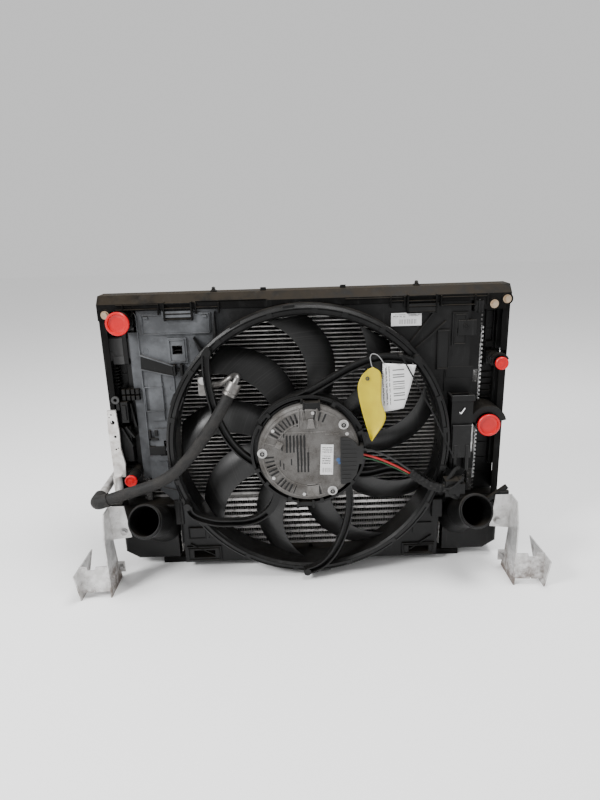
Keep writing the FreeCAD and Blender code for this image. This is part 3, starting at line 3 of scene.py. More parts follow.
import bpy
import numpy as np
from mathutils import Matrix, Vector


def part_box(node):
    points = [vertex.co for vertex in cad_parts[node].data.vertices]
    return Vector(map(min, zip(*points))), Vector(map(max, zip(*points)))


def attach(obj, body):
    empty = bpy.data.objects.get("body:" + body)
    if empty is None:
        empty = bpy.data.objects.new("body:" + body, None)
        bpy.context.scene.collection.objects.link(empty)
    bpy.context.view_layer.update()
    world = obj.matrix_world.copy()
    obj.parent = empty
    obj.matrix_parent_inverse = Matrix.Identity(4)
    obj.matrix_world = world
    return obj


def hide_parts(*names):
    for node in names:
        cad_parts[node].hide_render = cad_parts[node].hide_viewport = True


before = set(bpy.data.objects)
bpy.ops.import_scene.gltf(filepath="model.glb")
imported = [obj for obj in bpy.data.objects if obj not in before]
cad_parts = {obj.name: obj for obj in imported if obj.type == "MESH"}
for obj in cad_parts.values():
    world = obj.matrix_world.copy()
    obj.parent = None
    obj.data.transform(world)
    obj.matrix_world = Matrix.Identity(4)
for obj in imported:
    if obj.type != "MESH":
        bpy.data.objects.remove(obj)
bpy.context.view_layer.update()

# ------------------------------------------------------------------ camera
# A hand-held camera a little over a metre from the fan, looking down on it and rolled slightly.
CAMERA_PLACE = (-0.0125, -1.1193, 0.6696)
CAMERA_TILT = math.radians(17.0)
CAMERA_ROLL = math.radians(1.8)
FOCAL_SHARE = 0.75          # focal length over the picture's height
forward = np.array([0, math.cos(CAMERA_TILT), -math.sin(CAMERA_TILT)])
level_up = np.array([0, math.sin(CAMERA_TILT), math.cos(CAMERA_TILT)])
level_right = np.array([1.0, 0, 0])
right = level_right * math.cos(CAMERA_ROLL) - level_up * math.sin(CAMERA_ROLL)
up = level_right * math.sin(CAMERA_ROLL) + level_up * math.cos(CAMERA_ROLL)
lens = bpy.data.cameras.new("camera")
lens.sensor_fit = "VERTICAL"
lens.sensor_height = 24
lens.lens = lens.sensor_height * FOCAL_SHARE
camera = bpy.data.objects.new("camera", lens)
bpy.context.scene.collection.objects.link(camera)
camera.matrix_world = Matrix([[right[k], up[k], -forward[k], CAMERA_PLACE[k]] for k in range(3)]
                             + [[0, 0, 0, 1]])
bpy.context.scene.camera = camera

# ------------------------------------------------------------------ refrigerant hose
# Rubber suction hose: one end in a moulded elbow beside the left bracket, the other crimped to
# an aluminium pipe that is tucked behind the spider. Extruded rubber with a fine cloth imprint.
HOSE_WIDE = 0.021
HOSE_ROUTE = [(-0.366, -0.124, 0.187), (-0.345, -0.125, 0.194), (-0.315, -0.125, 0.203),
              (-0.277, -0.124, 0.214), (-0.244, -0.124, 0.233), (-0.214, -0.126, 0.263),
              (-0.188, -0.1295, 0.296), (-0.167, -0.1315, 0.326), (-0.149, -0.128, 0.353),
              (-0.136, -0.121, 0.376)]


def spline_curve(name, points, radius):
    """A smooth round cord: one open spline with the points as its controls."""
    line = bpy.data.curves.new(name, "CURVE")
    line.dimensions = "3D"
    spline = line.splines.new("NURBS")
    spline.points.add(len(points) - 1)
    for control, point in zip(spline.points, points):
        control.co = (*point, 1)
    spline.order_u = 3
    spline.use_endpoint_u = True
    spline.resolution_u = 16
    line.bevel_depth = radius
    line.bevel_resolution = 10
    line.use_fill_caps = True
    made = bpy.data.objects.new(name, line)
    bpy.context.scene.collection.objects.link(made)
    return made


class Wire:
    """A shader socket that can be added, multiplied and compared; each sign is one Math node."""

    def __init__(self, finish, socket):
        self.finish, self.socket = finish, socket

    def maths(self, operation, first, second=0.0):
        return self.finish.node("ShaderNodeMath", {"operation": operation}, {0: first, 1: second})

    def __add__(self, other):
        return self.maths("ADD", self, other)

    __radd__ = __add__

    def __sub__(self, other):
        return self.maths("SUBTRACT", self, other)

    def __rsub__(self, other):
        return self.maths("SUBTRACT", other, self)

    def __mul__(self, other):
        return self.maths("MULTIPLY", self, other)

    __rmul__ = __mul__

    def __truediv__(self, other):
        return self.maths("DIVIDE", self, other)

    def __gt__(self, other):
        return self.maths("GREATER_THAN", self, other)

    def __lt__(self, other):
        return self.maths("LESS_THAN", self, other)

    def fraction(self):
        """The part after the decimal point, which repeats a pattern."""
        return self.maths("FRACT", self)


class Finish:
    """One procedural material, whose nodes are added as its expressions are written."""

    def __init__(self, name):
        self.material = bpy.data.materials.new(name)
        self.material.use_nodes = True
        self.tree = self.material.node_tree
        self.shader = self.tree.nodes["Principled BSDF"]

    def node(self, kind, settings, values, output=0):
        """Add a node, set it up, feed its sockets with numbers, colours or wires, return a wire."""
        made = self.tree.nodes.new(kind)
        for name, setting in settings.items():
            setattr(made, name, setting)
        for socket, value in values.items():
            self.feed(made.inputs[socket], value)
        return Wire(self, made.outputs[output])

    def feed(self, socket, value):
        """Give one socket a wire or a constant."""
        if isinstance(value, Wire):
            self.tree.links.new(value.socket, socket)
        else:
            socket.default_value = value

    def spot(self, kind="Object"):
        """The place or the normal of the surface in the piece's own frame."""
        return self.node("ShaderNodeTexCoord", {}, {}, kind)

    def axes(self, kind="Object"):
        """The three parts of the place or the normal."""
        parts = self.node("ShaderNodeSeparateXYZ", {}, {0: self.spot(kind)})
        return [Wire(self, output) for output in parts.socket.node.outputs]

    def noise(self, scale, detail=4, rough=0.55, stretch=(1, 1, 1)):
        """Cloudy variation from 0 to 1, drawn out along an axis by a small stretch value."""
        place = self.node("ShaderNodeMapping", {}, {"Vector": self.spot(), "Scale": stretch})
        return self.node("ShaderNodeTexNoise", {}, {"Vector": place, "Scale": scale,
                                                    "Detail": detail, "Roughness": rough})

    def ramp(self, value, low, high):
        """Stretch a value so that low becomes 0 and high becomes 1, smoothly and clamped."""
        return self.node("ShaderNodeMapRange", {"interpolation_type": "SMOOTHSTEP"},
                         {"Value": value, "From Min": low, "From Max": high})

    def mix(self, share, first, second):
        """Blend two colours."""
        return self.node("ShaderNodeMix", {"data_type": "RGBA"}, {0: share, 6: first, 7: second}, 2)

    def bump(self, height, depth, strength=1.0):
        """A normal tilted by a height field; depth is the height's size in metres."""
        return self.node("ShaderNodeBump", {}, {"Height": height, "Distance": depth,
                                                "Strength": strength})

    def done(self, **sockets):
        """Feed the shader; an underscore in a name stands for a space."""
        for name, value in sockets.items():
            self.feed(self.shader.inputs[name.replace("_", " ")], value)
        return self.material


def shade(level, warmth=0.0):
    """A grey of one level, warmer towards brown as warmth grows."""
    return (level * (1 + warmth), level, level * (1 - warmth), 1)


def hose_rubber():
    """Dull black rubber, chalky where it was handled, with a fine imprint along it."""
    finish = Finish("hose_rubber")
    chalk = finish.ramp(finish.noise(55, 5), 0.35, 0.75)
    scuff = finish.ramp(finish.noise(700, 2), 0.5, 0.72)
    colour = finish.mix(chalk, shade(0.006), shade(0.020, 0.08))
    colour = finish.mix(scuff * 0.3, colour, shade(0.05, 0.06))
    return finish.done(Base_Color=colour, Roughness=0.6 + chalk * 0.2, Specular_IOR_Level=0.25,
                       Normal=finish.bump(finish.noise(1500, 2), 0.0003))


def dress(material, *names):
    """Give carried-over nodes a material."""
    for name in names:
        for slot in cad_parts[name].material_slots:
            slot.material = material


rubber = hose_rubber()
hose = spline_curve("refrigerant_hose", HOSE_ROUTE, HOSE_WIDE / 2)
hose.data.materials.append(rubber)
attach(hose, "pack")
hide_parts("ac_hose")
dress(rubber, "hose_elbow")

# ------------------------------------------------------------------ floor and light
# A pale floor, a bright even surround, and soft boxes above and to the front left.
floor_mesh = bpy.data.meshes.new("floor")
floor_mesh.from_pydata([(-7, -7, 0), (7, -7, 0), (7, 7, 0), (-7, 7, 0)], [], [(0, 1, 2, 3)])
floor = bpy.data.objects.new("floor", floor_mesh)
bpy.context.scene.collection.objects.link(floor)
floor_mesh.materials.append(Finish("floor_paper").done(Base_Color=shade(0.95), Roughness=0.9))
world = bpy.data.worlds.new("studio")
world.use_nodes = True
world.node_tree.nodes["Background"].inputs["Color"].default_value = (1, 1, 1, 1)
world.node_tree.nodes["Background"].inputs["Strength"].default_value = 0.8
bpy.context.scene.world = world


def soft_light(name, place, target, width, power):
    """A square soft box at a place, turned to a target."""
    lamp = bpy.data.lights.new(name, "AREA")
    lamp.shape = "SQUARE"
    lamp.size = width
    lamp.energy = power
    made = bpy.data.objects.new(name, lamp)
    bpy.context.scene.collection.objects.link(made)
    away = np.array(place) - np.array(target)
    away = away / np.linalg.norm(away)
    side = np.cross((0, 0, 1), away)
    side = side / np.linalg.norm(side)
    over = np.cross(away, side)
    made.matrix_world = Matrix([[side[k], over[k], away[k], place[k]] for k in range(3)]
                               + [[0, 0, 0, 1]])


soft_light("key_light", (-1.6, -1.3, 1.6), (0, 0, 0.3), 0.6, 62)
soft_light("top_light", (0.4, -0.3, 2.2), (0, 0, 0.27), 0.9, 55)

# ------------------------------------------------------------------ radiator core
# Brazed aluminium: flat tubes with folded strips between them, channels above and below, and
# header pans crimped round the tank feet.


def fin_strips(name, node, rows, pitch, strip, fold, material):
    """Fin strips between tubes, in rows. Along each row the height is a zigzag: it swings from
    the tube below to the tube above every fold, and the strip runs straight through the depth."""
    low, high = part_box(node)
    count = int((high[0] - low[0]) / fold)
    x = np.linspace(low[0], high[0], count + 1)
    swing = (np.arange(count + 1) % 2) * (strip - 0.0004) + 0.0002
    base = low[2] + np.arange(rows) * pitch
    z = base[:, None] + swing[None, :]
    points = np.empty((rows, 2, count + 1, 3))
    points[..., 0] = x
    points[:, 0, :, 1], points[:, 1, :, 1] = low[1], high[1]
    points[..., 2] = z[:, None, :]
    first = (np.arange(rows) * 2 * (count + 1))[:, None] + np.arange(count)
    faces = np.stack([first, first + 1, first + count + 2, first + count + 1], axis=-1)
    mesh = bpy.data.meshes.new(name)
    mesh.from_pydata(points.reshape(-1, 3).tolist(), [], faces.reshape(-1, 4).tolist())
    mesh.materials.append(material)
    made = bpy.data.objects.new(name, mesh)
    bpy.context.scene.collection.objects.link(made)
    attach(made, "pack")
    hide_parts(node)


def core_metal(name, level, grime):
    """Dull aluminium with dark grime in patches and fine bright specks."""
    finish = Finish(name)
    patch = finish.ramp(finish.noise(11, 5), 0.35, 0.7)
    mud = finish.ramp(finish.noise(180, 3), 0.5, 0.7)
    speck = finish.ramp(finish.noise(500, 2), 0.62, 0.7)
    colour = finish.mix(patch * grime, shade(level, 0.02), shade(level * 0.3, 0.1))
    colour = finish.mix(mud * 0.6, colour, shade(level * 0.12, 0.1))
    colour = finish.mix(speck * 0.6, colour, shade(0.8))
    return finish.done(Base_Color=colour, Metallic=0.6, Roughness=0.42 + patch * 0.25)


FIN_FOLD = 0.0016
fin_metal = core_metal("fin_aluminium", 0.34, 0.6)
tube_metal = core_metal("tube_aluminium", 0.46, 0.45)
open_metal = core_metal("charge_air_aluminium", 0.85, 0.2)
fin_strips("radiator_fin_strips", "radiator_fins", 48, 0.008, 0.006, FIN_FOLD, fin_metal)
fin_strips("condenser_fin_strips", "condenser_fins", 36, 0.010, 0.008, FIN_FOLD, fin_metal)
fin_strips("charge_air_fin_strips", "charge_air_fins", 8, 0.0125, 0.0075, 1.5 * FIN_FOLD,
           fin_metal)
dress(tube_metal, "radiator_tubes", "radiator_side_plates", "condenser_tubes",
      "condenser_manifolds")
dress(core_metal("header_aluminium", 0.10, 0.6), "header_left", "header_right")
dress(open_metal, "charge_air_tubes", "charge_air_headers")

# ------------------------------------------------------------------ fan cowl
# One large injection moulding in talc-filled plastic. The left half is greyed by a painted sheen,
# standing in for the reflection of the bright floor to the front left; the right half is near
# black. Ribs, frames and latches stand on its face.
MM = 0.001


def skin(grid, along=False):
    """Vertices and faces over a grid of points whose rows close on themselves; along joins the
    last row to the first, and otherwise both are capped. The surface faces outwards."""
    grid = np.asarray(grid, dtype=float)
    rows, columns = grid.shape[:2]
    index = np.arange(rows * columns).reshape(rows, columns)
    if along:
        index = np.vstack([index, index[:1]])
    beside = np.roll(index, -1, axis=1)
    quads = np.stack([index[:-1], beside[:-1], beside[1:], index[1:]], axis=-1).reshape(-1, 4)
    caps = [] if along else [index[0][::-1], index[-1]]
    points = grid.reshape(-1, 3)
    a, b, c, d = (points[quads[:, k]] for k in range(4))
    volume = np.sum(a * np.cross(b, c)) + np.sum(a * np.cross(c, d))
    for cap in caps:
        corner = points[cap]
        volume += np.sum(corner[0] * np.cross(corner[1:-1], corner[2:]))
    faces = quads.tolist() + [cap.tolist() for cap in caps]
    if volume < 0:
        faces = [face[::-1] for face in faces]
    return points, faces


def prism(outline, low, high, bevel=0.0005):
    """A straight prism along Y: the X,Z outline stands at four stations and is drawn in by the
    bevel at the first and last, which chamfers both ends. Outline and stations are metres."""
    outline = np.asarray(outline, dtype=float)
    middle = (outline.max(axis=0) + outline.min(axis=0)) / 2
    half = np.maximum((outline.max(axis=0) - outline.min(axis=0)) / 2, 1e-6)
    bevel = min(bevel, float(half.min()) * 0.6, abs(high - low) * 0.3)
    inset = middle + (outline - middle) * (1 - bevel / half)
    flats = np.stack([inset, outline, outline, inset])
    along = np.broadcast_to(np.array([low, low + bevel, high - bevel, high])[:, None],
                            flats.shape[:2])
    return skin(np.stack([flats[..., 0], along, flats[..., 1]], axis=-1))


def slab(x, y, z, bevel=0.0005):
    """A box between pairs of millimetre limits."""
    return prism([(x[0] * MM, z[0] * MM), (x[1] * MM, z[0] * MM), (x[1] * MM, z[1] * MM),
                  (x[0] * MM, z[1] * MM)], y[0] * MM, y[1] * MM, bevel)


def rib(start, end, width, y):
    """A straight rib on the fan's plane between two X,Z points, in millimetres."""
    start, end = np.array(start, float), np.array(end, float)
    way = (end - start) / np.linalg.norm(end - start)
    across = np.array([-way[1], way[0]]) * width / 2
    outline = np.array([start - across, end - across, end + across, start + across]) * MM
    return prism(outline, y[0] * MM, y[1] * MM)


def disc(x, z, radius, y, sides=24, bevel=0.0005):
    """A round stud along Y, in millimetres."""
    turn = np.linspace(0, 2 * math.pi, sides, endpoint=False)
    outline = np.stack([x + radius * np.cos(turn), z + radius * np.sin(turn)], axis=-1) * MM
    return prism(outline, y[0] * MM, y[1] * MM, bevel)


def hoop(centre, inner, outer, y, start=0.0, stop=360.0):
    """A ring or an arc about a Y axis: a rectangle in radius and Y turned between two angles."""
    whole = stop - start >= 360
    count = max(int((stop - start) / 3), 4)
    turn = np.radians(np.linspace(start, stop, count, endpoint=not whole))[:, None]
    radius = np.array([inner, outer, outer, inner])[None, :]
    depth = np.broadcast_to(np.array([y[0], y[0], y[1], y[1]])[None, :], (count, 4))
    grid = np.stack([centre[0] + radius * np.cos(turn), depth,
                     centre[1] + radius * np.sin(turn)], axis=-1) * MM
    return skin(grid, whole)


def smooth_line(points, steps=6):
    """A cubic line through every point, with the same number of steps between each two."""
    points = np.asarray(points, dtype=float)
    ends = np.vstack([2 * points[0] - points[1], points, 2 * points[-1] - points[-2]])
    share = np.linspace(0, 1, steps, endpoint=False)[None, :, None]
    a, b, c, d = (ends[k:len(ends) - 3 + k, None, :] for k in range(4))
    line = 0.5 * (2 * b + (c - a) * share + (2 * a - 5 * b + 4 * c - d) * share ** 2
                  + (3 * b - a - 3 * c + d) * share ** 3)
    return np.vstack([line.reshape(-1, points.shape[1]), points[-1:]])


def tube(points, radius, sides=10, steps=6):
    """A round tube in millimetres: a circle carried along a smooth line, square to the line at
    every station."""
    line = smooth_line(points, steps)
    way = np.gradient(line, axis=0)
    way /= np.linalg.norm(way, axis=1, keepdims=True)
    spare = np.array([0.12, 0.97, 0.21])
    side = np.cross(way, spare)
    side /= np.linalg.norm(side, axis=1, keepdims=True)
    over = np.cross(side, way)
    turn = np.linspace(0, 2 * math.pi, sides, endpoint=False)[None, :, None]
    radius = np.broadcast_to(np.asarray(radius, float), (len(line),))[:, None, None]
    return skin((line[:, None, :] + radius * (side[:, None, :] * np.cos(turn)
                                              + over[:, None, :] * np.sin(turn))) * MM)


def piece(name, parts, material, body="pack", smooth=False):
    """One mesh out of several closed surfaces, riding on a body and tied to a material slot."""
    points, faces, count = [], [], 0
    for part_points, part_faces in parts:
        points.append(part_points)
        faces.extend([corner + count for corner in face] for face in part_faces)
        count += len(part_points)
    mesh = bpy.data.meshes.new(name)
    mesh.from_pydata(np.concatenate(points).tolist(), [], faces)
    mesh.polygons.foreach_set("use_smooth", [smooth] * len(mesh.polygons))
    mesh.materials.append(material)
    made = bpy.data.objects.new(name, mesh)
    bpy.context.scene.collection.objects.link(made)
    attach(made, body)
    return made


def moulded(name, level, dust=0.5, gloss=0.42, painted_sheen=0.0, warmth=0.0, specular=0.22):
    """Black plastic: clouded darks, brown dust on upward faces, rubbed patches and fine grain.
    The painted sheen greys the part's left half, higher up, with a bluish grey: a painted
    reflection of the bright floor to the front left."""
    finish = Finish(name)
    x, y, z = finish.axes()
    upward = finish.axes("Normal")[2]
    cloud = finish.ramp(finish.noise(10, 6), 0.3, 0.75)
    rub = finish.ramp(finish.noise(34, 6, 0.65), 0.52, 0.8)
    scratch = finish.ramp(finish.noise(160, 3, 0.6, (1, 1, 0.08)), 0.6, 0.75)
    settled = finish.ramp(upward, 0.3, 0.95) * finish.ramp(finish.noise(40, 5), 0.25, 0.6)
    colour = finish.mix(cloud, shade(level, warmth), shade(level * 1.7, warmth))
    colour = finish.mix(rub * 0.3, colour, shade(0.03))
    colour = finish.mix(scratch * 0.15, colour, shade(0.07))
    if painted_sheen:
        # Painted reflection: a bluish-grey sheen over the left half, uneven in patches, standing in
        # for the bright floor mirrored in the plastic.
        side = finish.ramp(-1.0 * x, 0.12, 0.2) * finish.ramp(z, 0.04, 0.36)
        sheen_unevenness = 0.38 + finish.ramp(finish.noise(17, 6, 0.65), 0.36, 0.66) * 0.5
        colour = finish.mix(side * sheen_unevenness * painted_sheen, colour, (0.105, 0.110, 0.118, 1))
    colour = finish.mix(settled * dust, colour, (0.034, 0.026, 0.017, 1))
    return finish.done(Base_Color=colour, Roughness=gloss + cloud * 0.12 + settled * 0.25,
                       Specular_IOR_Level=specular,
                       Normal=finish.bump(finish.noise(1400, 2), 0.00012))


# The cowl gets the painted sheen: a painted reflection that lightens its left half.
cowl_plastic = moulded("cowl_plastic", 0.0035, painted_sheen=1.0)
dark_plastic = moulded("dark_plastic", 0.002, dust=0.3)
dress(cowl_plastic, "fan_cowl")
dress(dark_plastic, "connector_holder")
FACE = -62.0
frames = []
for x, z, lift in (((-288, -168), (477, 512), 66.4), ((-243, -215), (427, 467), 67.4),
                   ((236, 258), (398, 468), 66), ((265, 287), (443, 497), 67.4),
                   ((-296, -262), (334, 381), 65.6), ((-243, -181), (21, 47), 67.4),
                   ((184, 243), (21, 41), 67.4), ((-240, -206), (68, 92), 66)):
    for bar in (((x[0], x[1]), (z[0], z[0] + 1.6)), ((x[0], x[1]), (z[1] - 1.6, z[1])),
                ((x[0], x[0] + 1.6), z), ((x[1] - 1.6, x[1]), z)):
        frames.append(slab(bar[0], (-lift - 0.8, -lift + 2.4), bar[1]))
# two tabs inside the big frame, square latches, and moulded rings
for x in (-284, -180):
    frames.append(slab((x, x + 8), (-68, -64), (505, 509)))
for x, z in ((-287, 446), (-128, 507), (-202, 454), (-245, 377), (240, 380), (262, 425)):
    frames.append(hoop((x, z), 4.2, 5.4, (FACE - 0.7, FACE + 0.5)))
for start, end, width, lift in (
        ((188, 448), (228, 501), 2.2, 5), ((198, 437), (251, 485), 2.2, 5),
        ((-297, 441), (-239, 419), 1.8, 6.2), ((-298, 415), (-239, 400), 1.8, 6.2),
        ((-297, 512), (-297, 441), 1.8, 3), ((-297, 414), (-299, 246), 1.8, 3),
        ((252, 404), (252, 356), 1.6, 2.6), ((-268, 244), (-266, 188), 1.6, 2.6),
        ((-301, 186), (-252, 172), 2.0, 4), ((-252, 172), (-252, 150), 2.0, 4),
        ((-240, 398), (-240, 330), 1.5, 2), ((-262, 388), (-262, 332), 1.5, 2.4)):
    frames.append(rib(start, end, width, (FACE - lift, FACE + 1)))
frames.append(prism(np.array([(272, 458), (305, 458), (305, 486), (272, 486)]) * MM,
                    -0.0680, -0.0625))
frames.append(hoop((286, 475), 3.4, 5, (-69.2, -67)))
piece("cowl_ribs", frames, cowl_plastic)
# Near-black pieces standing in for the cowl's sunk panels, among them the sloping channel between
# the two ribs and the hole in the small ring at the upper right: painted shade of these recesses.
recess_shade_and_latches = [prism(np.array([(-296, 439), (-240, 418), (-240, 402), (-297, 416)]) * MM, -0.0666,
              -0.0618),
        slab((254, 304), (-62.8, -61.5), (380, 401)), slab((-298, -268), (-66.4, -60), (248, 265)),
        slab((-228, -190), (-64, -60.5), (71, 89)), disc(286, 475, 3.3, (-69, -67))]
# clip on the sloping channel, latch lower down, and pointed ribs that tie the ring to the cowl
recess_shade_and_latches += [slab((-238, -234), (-74, -60), (402, 422)), slab((-226, -221), (-74, -60), (402, 422)),
         slab((-238, -221), (-66, -60), (408, 414)), slab((-296, -279), (-68, -61), (278, 282)),
         slab((-296, -292), (-68, -61), (278, 297)), slab((-285, -279), (-68, -61), (286, 297))]
for tip, left, lower in (((-157, 516), (-164, 456), (-156, 456)),
                         ((-197, 471), (-188, 446), (-178, 441))):
    recess_shade_and_latches.append(prism(np.array([tip, left, lower]) * MM, -0.0800, -0.0600))
piece("cowl_latches_and_recess_shade", recess_shade_and_latches, dark_plastic)


def printed(name, corner, lean, blocks, white=0.6):
    """Pale printed stock with generic grey marks and no lettering. Places on it are measured in
    metres from its lower left corner, along and square to an edge that leans by an angle. Each
    block is left, right, low, high, spacing, whether its lines stand upright, and whether they
    are whole bars; the others are broken up by a noise."""
    finish = Finish(name)
    x, y, z = finish.axes()
    along = (x - corner[0]) * math.cos(lean) + (z - corner[1]) * math.sin(lean)
    up = (z - corner[1]) * math.cos(lean) - (x - corner[0]) * math.sin(lean)
    soil = finish.ramp(finish.noise(90, 4), 0.4, 0.8)
    colour = finish.mix(soil * 0.3, shade(white), shade(white * 0.6, 0.06))
    for left, right, low, high, spacing, upright, whole in blocks:
        inside = (along > left) * (along < right) * (up > low) * (up < high)
        across = along if upright else up
        lines = (across / spacing).fraction() > 0.5
        if whole:
            lines = lines * ((across / (spacing * 2.7)).fraction() > 0.3)
        else:
            lines = lines * (finish.noise(420, 1) > 0.44)
        colour = finish.mix(inside * lines * 0.85, colour, shade(0.015))
    return finish.done(Base_Color=colour, Roughness=0.45)


label_paper = printed("cowl_label_paper", (0.153, 0.4785), 0.0,
                      [(0.003, 0.025, 0.0145, 0.0205, 0.003, False, False),
                       (0.030, 0.050, 0.0165, 0.0205, 0.002, False, False),
                       (0.013, 0.045, 0.0035, 0.0115, 0.0016, True, True)])
piece("cowl_label", [slab((153, 207), (-64.5, -64.1), (478.5, 501.5), 0.0001)], label_paper)

# ------------------------------------------------------------------ fan ring and spider
# Glossier moulding that carries the motor. Two fine rails run round the flange with bridges
# between them, and the tail of a cable tie crosses it on the right.
FAN_Z = 268.0
ring_plastic = moulded("ring_plastic", 0.0028, dust=0.06, gloss=0.27)
dress(ring_plastic, "fan_ring")
rails = [hoop((0, FAN_Z), 244.8, 246, (-104.2, -102.5)),
         hoop((0, FAN_Z), 252.6, 253.8, (-104.0, -101))]
for degrees in (6, 20, 37, 58, 74, 86, 104, 127, 144, 166, 194, 216, 241, 263, 287, 309, 331, 349):
    rails.append(hoop((0, FAN_Z), 245, 254, (-105.0, -101), degrees - 1.1, degrees + 1.1))
for degrees in (48, 96, 118, 158, 204, 226, 276, 300, 340):
    rails.append(hoop((0, FAN_Z), 254, 259.5, (-100, -88), degrees - 2.2, degrees + 2.2))
    rails.append(hoop((0, FAN_Z), 240.2, 242, (-100, -92), degrees - 3, degrees + 3))
# cage round the motor seat: a stepped rim, posts and the black clip over the motor's top edge
rails += [hoop((0, FAN_Z), 99, 101, (-121.4, -119.5)),
          hoop((0, FAN_Z), 93, 95, (-118, -109), 100, 168),
          hoop((0, FAN_Z), 93, 95, (-118, -109), 196, 232),
          hoop((0, FAN_Z), 93, 95, (-118, -109), 300, 352)]
for degrees in (135, 150, 200, 218, 248, 283, 322, 20, 62):
    rails.append(hoop((0, FAN_Z), 94, 103, (-124, -118), degrees - 2, degrees + 2))
piece("ring_rails", rails, ring_plastic)
clip_parts = [slab((-6, 20), (-133.5, -120), (350, 362.5)),
              slab((-8, -5), (-134.5, -120), (344, 364)),
              slab((19, 22), (-134.5, -120), (344, 364)), slab((-12, -8), (-124, -116), (356, 366)),
              slab((-22, 6), (-128, -119), (164, 172)), slab((-24, -20), (-130, -119), (160, 176)),
              slab((4, 8), (-130, -119), (160, 176))]
piece("motor_clips", clip_parts, dark_plastic)
strap = [rib((161, 440), (221, 331), 2.6, (-128.0, -127.0)),
         rib((220.5, 332), (240, 288), 2.6, (-127.8, -126.8)),
         rib((239.6, 289), (262, 243), 2.6, (-127.6, -126.6)),
         slab((157, 164), (-129.5, -118), (437.5, 442))]
piece("cable_tie_tail", strap, dark_plastic)

# ------------------------------------------------------------------ fan wheel
# Nine swept blades and a cup in one nylon moulding, satin, with dust on the leading halves.


def blade_nylon():
    """Dark satin nylon; dust lies in soft arcs about the fan's axis."""
    finish = Finish("blade_nylon")
    x, y, z = finish.axes()
    height = z - FAN_Z * MM
    square = x * x + height * height
    reach = square.maths("SQRT", square)
    arcs = finish.node("ShaderNodeTexNoise", {"noise_dimensions": "1D"},
                       {"W": reach * 70.0, "Detail": 3})
    soft = finish.ramp(finish.noise(12, 4), 0.35, 0.7)
    colour = finish.mix(soft * 0.7, shade(0.0035), shade(0.011))
    colour = finish.mix(finish.ramp(arcs, 0.5, 0.75) * 0.3, colour, shade(0.035, 0.03))
    return finish.done(Base_Color=colour, Roughness=0.33 + soft * 0.16, Specular_IOR_Level=0.4)


dress(blade_nylon(), "fan_wheel")

# ------------------------------------------------------------------ radiator tanks
# Black nylon end tanks with ribs. On the left a sensor block, a terminal strip and a connector
# box sit on the tank; on the right a deflector hood covers the lower port.
tank_plastic = moulded("tank_plastic", 0.0028, dust=0.3, gloss=0.36)
dress(tank_plastic, "tank_left", "tank_right", "tank_gaskets")
grey_plastic = moulded("grey_plastic", 0.035, dust=0.2, gloss=0.5)
left_parts = [slab((-331, -313), (-37, -31.5), (196, 478), 0.001),
              slab((-362, -334), (-58, -30), (196, 214)),
              slab((-360, -333), (-50, -30), (230, 300)),
              slab((-344, -331), (-61, -45), (312, 352)),
              slab((-341, -334), (-64, -60), (318, 346)),
              slab((-356, -346), (-60, -36), (336, 350))]
for k in range(4):
    for j in range(2):
        left_parts.append(slab((-341 + 8.5 * k, -334.6 + 8.5 * k), (-54, -38),
                               (353 + 12 * j, 362 + 12 * j)))
for k in range(7):
    left_parts.append(slab((-358, -345), (-44 - k % 2 * 2, -30), (376 + 6 * k, 378.4 + 6 * k)))
left_parts += [rib((-348, 300), (-331, 262), 3, (-56, -40)),
               rib((-340, 302), (-326, 280), 3, (-56, -40)),
               rib((-329, 346), (-322, 300), 3, (-50, -40)),
               slab((-331, -322), (-48, -38), (420, 500), 0.001)]
left_parts.append(slab((-361.6, -350), (-41, -31), (200, 520)))
piece("left_tank_fittings", left_parts, tank_plastic)
sensor = [slab((-361, -318), (-44, -30), (430, 470), 0.002), disc(-357, 436, 9.5, (-45, -31), 28),
          slab((-352, -322), (-45.4, -43), (420, 436), 0.001),
          hoop((-352, 357), 3.2, 7.4, (-63, -60.5))]
piece("left_sensor_block", sensor, grey_plastic)
right_parts = [hoop((330, 296), 22.5, 34, (-84, -34), 12, 172),
               hoop((330, 296), 20.6, 22, (-80, -60), 0, 360)]
for k in range(5):
    right_parts.append(slab((329, 359), (-32.5, -28), (331 + 12 * k, 333 + 12 * k)))
right_parts += [slab((345, 347.4), (-33, -28), (392, 500)),
                slab((331, 333), (-33, -28), (392, 500)),
                slab((332, 358), (-34, -28), (428, 440), 0.001),
                slab((300, 316), (-66, -40), (500, 519)),
                slab((306, 309), (-69, -60), (498, 522)),
                hoop((346, 411), 12.4, 16, (-82, -70), 20, 200)]
right_parts += [slab((349, 361.6), (-41, -31), (200, 396)),
                slab((349, 361.6), (-41, -31), (428, 520))]
piece("right_tank_fittings", right_parts, tank_plastic)


def crimped_metal():
    """Bare bright aluminium, scuffed."""
    finish = Finish("crimped_aluminium")
    scuff = finish.ramp(finish.noise(260, 4), 0.4, 0.7)
    return finish.done(Base_Color=finish.mix(scuff, shade(0.85), shade(0.4)), Metallic=0.35,
                       Roughness=0.4 + scuff * 0.2)


crimp = crimped_metal()
exposed = [slab((313, 323), (-34.4, -31.4), (392, 436), 0.001),
           slab((308, 319), (-34.4, -31.4), (222, 304), 0.001),
           rib((322, 166), (324.6, 470), 1.2, (-33, -31.2))]
for k in range(38):
    exposed.append(slab((321.8 + 0.07 * k, 325.4 + 0.07 * k), (-35, -31.2),
                        (168 + 8 * k, 172 + 8 * k)))
piece("crimp_edge", exposed, crimp)

